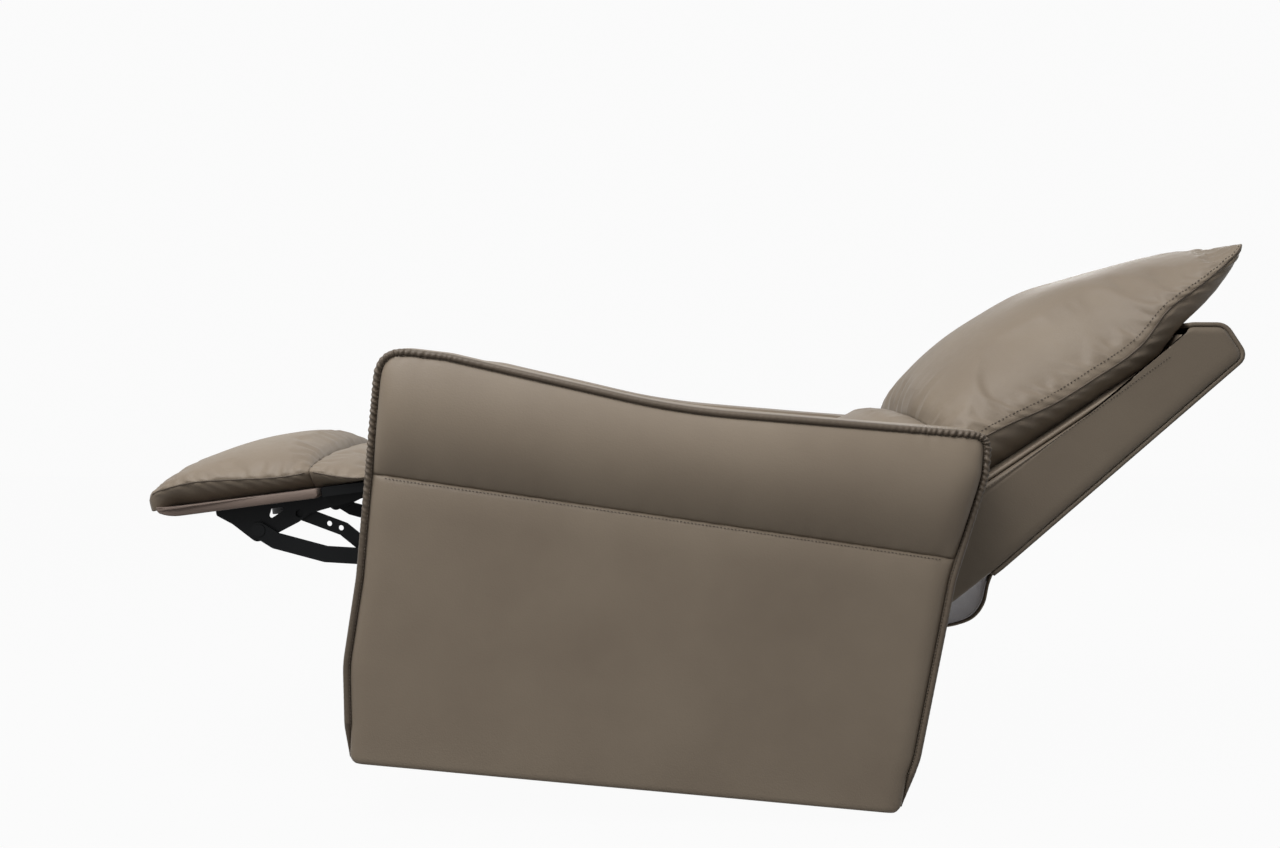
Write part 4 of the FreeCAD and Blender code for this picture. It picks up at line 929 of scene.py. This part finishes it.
# the pillow's seam flanges carry the darker welt leather as a painted shade line beside each seam
for side, sign in SIDES:
    seam_col, stitch_col = (ACROSS - 1, ACROSS - 4) if side == "left" else (0, 3)
    out = [sign * 0.85, 0.0, 0.5]
    line = pillow_rings[1:-1, seam_col] - [sign * 1.5, 0, 0]
    flange("head_pillow_seam_" + side, line, out, on_back, "back", reach=4.5, thick=2.8)
    row = pillow_rings[1:-1, stitch_col] + [0.3 * sign, 0, 0.8]
    stitches("head_pillow_stitches_" + side, row, out, on_back, "back", pitch=6.0)

# skirt and lining hang as two thin sheets from the rear cover to the hinge
skirt_line = np.array([(272, -158.8), (242, -175), (216, -196), (190, -203), (162, -195), (128, -176)])
knots, skirt_points, skirt_half = len(skirt_line), 60, 222
steps = np.linspace(0, knots - 1, skirt_points)
skirt_run = np.stack([eased(np.arange(knots), skirt_line[:, i], steps) for i in (0, 1)], -1)


def hung(name, inset, first, thick, half, material, node):
    """A thin hanging sheet across the back, with slack ripples growing away from its edges."""
    xs = np.linspace(-half, half, 110)
    s = np.linspace(0, 1, skirt_points)
    sway = 1.0 * np.sin(math.pi * s)[None] * waves(101, xs[:, None] / 45, s[None] * 3)
    flare = 0.35 + 0.65 * np.abs(xs / skirt_half) ** 1.6
    chord = skirt_run[:1] + (skirt_run[-1:] - skirt_run[:1]) * s[:, None]
    skins = []
    for offset in (inset, inset + thick):
        lines = [inward(chord + (skirt_run - chord) * f, offset + w) for f, w in zip(flare, sway)]
        skins.append(at_each(xs, np.array(lines)[:, first:]))
    run = skins[0][0, :, 1:]
    rings = np.concatenate([skins[0], skins[1][:, ::-1]], 1)
    made = piece(name, on_back(rings.reshape(-1, 3)), doubled_faces(len(xs), len(run)), material,
                 "back", [node])


hung("back_skirt_sheet", 0.0, 0, 2.2, skirt_half, taupe, "back_skirt")
hung("back_lining_sheet", 3.8, 12, 1.2, skirt_half - 4, grey_lining, "back_lining")

# the lining's side gussets close the ends of the skirt, drawn in a little and softly folded
gusset_x, gusset_thick = 216, 1.2
roof = evenly(np.array([(268.0, -159.5), (172.0, -159.5), (134.0, -134.0)]), skirt_points)[None]
fall = np.linspace(0, 1, 24)[:, None]
flat = roof + (inward(skirt_run, 5.2)[None] - roof) * fall[..., None]
along = np.linspace(0, 1, skirt_points)[None]
drawn_in = np.sin(math.pi * along) * np.sin(math.pi * fall) ** 0.8
folds = np.sin(34 * along + 3 * fall) + 0.6 * np.sin(19 * along - 2 * fall)
face = np.concatenate([(gusset_x - 11 * drawn_in + 1.3 * folds * drawn_in)[..., None], flat], -1)
points, faces = panel(face, 0.0)
points[len(points) // 2:, 0] = points[:len(points) // 2, 0] - gusset_thick
for side, sign in SIDES:
    made = piece("back_lining_gusset_" + side, on_back(points * [sign, 1, 1]), faces, grey_lining,
                 "back")


# Studio: a pale sweep under soft overhead light, seen level from the chair's left side.

def seen_directly(tree):
    """1 where the eye meets a surface straight, mirrored or through glass, otherwise 0."""
    rays = add(tree, "ShaderNodeLightPath").outputs
    seen = rays["Is Camera Ray"]
    for kind in ("Is Glossy Ray", "Is Transmission Ray"):
        seen = add(tree, "ShaderNodeMath", {0: seen, 1: rays[kind]}, operation="MAXIMUM").outputs[0]
    return seen


def pale_sweep():
    """Matt seamless paper: near white to the eye, still taking the chair's shadow."""
    made, tree, shader, place = new_material("pale_seamless_paper")
    fibre_mm = 5
    relief(tree, shader, noise(tree, place, fibre_mm, 3.0), 0.05, 0.0003)
    shader.inputs["Base Color"].default_value = linear("#706F6D")
    shader.inputs["Roughness"].default_value = 0.9
    glow = add(tree, "ShaderNodeEmission", {"Color": linear("#FFFFFF"), "Strength": 1.0})
    glow_share = 0.955
    share = add(tree, "ShaderNodeMath", {0: seen_directly(tree), 1: glow_share}, operation="MULTIPLY")
    mix = add(tree, "ShaderNodeMixShader",
              {"Fac": share.outputs[0], 1: shader.outputs["BSDF"], 2: glow.outputs["Emission"]})
    tree.links.new(mix.outputs["Shader"], tree.nodes["Material Output"].inputs["Surface"])
    return made


half_floor = 6.0
floor_mesh = bpy.data.meshes.new("floor_sweep")
floor_mesh.from_pydata([(-half_floor, -half_floor, 0), (half_floor, -half_floor, 0),
                        (half_floor, half_floor, 0), (-half_floor, half_floor, 0)], [], [(0, 1, 2, 3)])
floor_mesh.materials.append(pale_sweep())
floor = bpy.data.objects.new("floor_sweep", floor_mesh)
bpy.context.scene.collection.objects.link(floor)

world = bpy.data.worlds.new("studio_air")
bpy.context.scene.world = world
world.use_nodes = True
air = world.node_tree
# the chair gets little light from the air; the eye sees it as bright as the paper
seen_light, air_light = 0.887, 0.075
bright = add(air, "ShaderNodeMath", {0: seen_directly(air), 1: seen_light, 2: air_light},
             operation="MULTIPLY_ADD")
backdrop = air.nodes["Background"]
backdrop.inputs["Color"].default_value = linear("#FFFFFF")
air.links.new(bright.outputs[0], backdrop.inputs["Strength"])


def softbox(name, place, aim, width, depth, watts):
    """A rectangular area light turned towards a point."""
    lamp = bpy.data.lights.new(name, "AREA")
    lamp.shape = "RECTANGLE"
    lamp.size, lamp.size_y, lamp.energy = width, depth, watts
    made = bpy.data.objects.new(name, lamp)
    bpy.context.scene.collection.objects.link(made)
    made.location = place
    made.rotation_euler = (aim - made.location).to_track_quat("-Z", "Y").to_euler()


middle = (cad_low + cad_high) / 2
softbox("overhead_softbox", (1.35, -0.8, 2.8), middle, 2.2, 2.8, 128)
softbox("side_fill", (3.2, 1.2, 0.8), middle, 1.6, 1.2, 6)
softbox("far_fill", (-2.6, 2.2, 1.5), middle, 2.0, 1.6, 34)

lens = bpy.data.cameras.new("side_camera")
lens.lens, lens.sensor_width = 33.24, 36.0
lens.shift_x, lens.shift_y = 0.0016, -0.028
camera = bpy.data.objects.new("side_camera", lens)
bpy.context.scene.collection.objects.link(camera)
camera.location = (1.991, 0.0298, 0.5925)
camera.rotation_euler = (math.radians(90), 0, math.radians(90))
bpy.context.scene.camera = camera
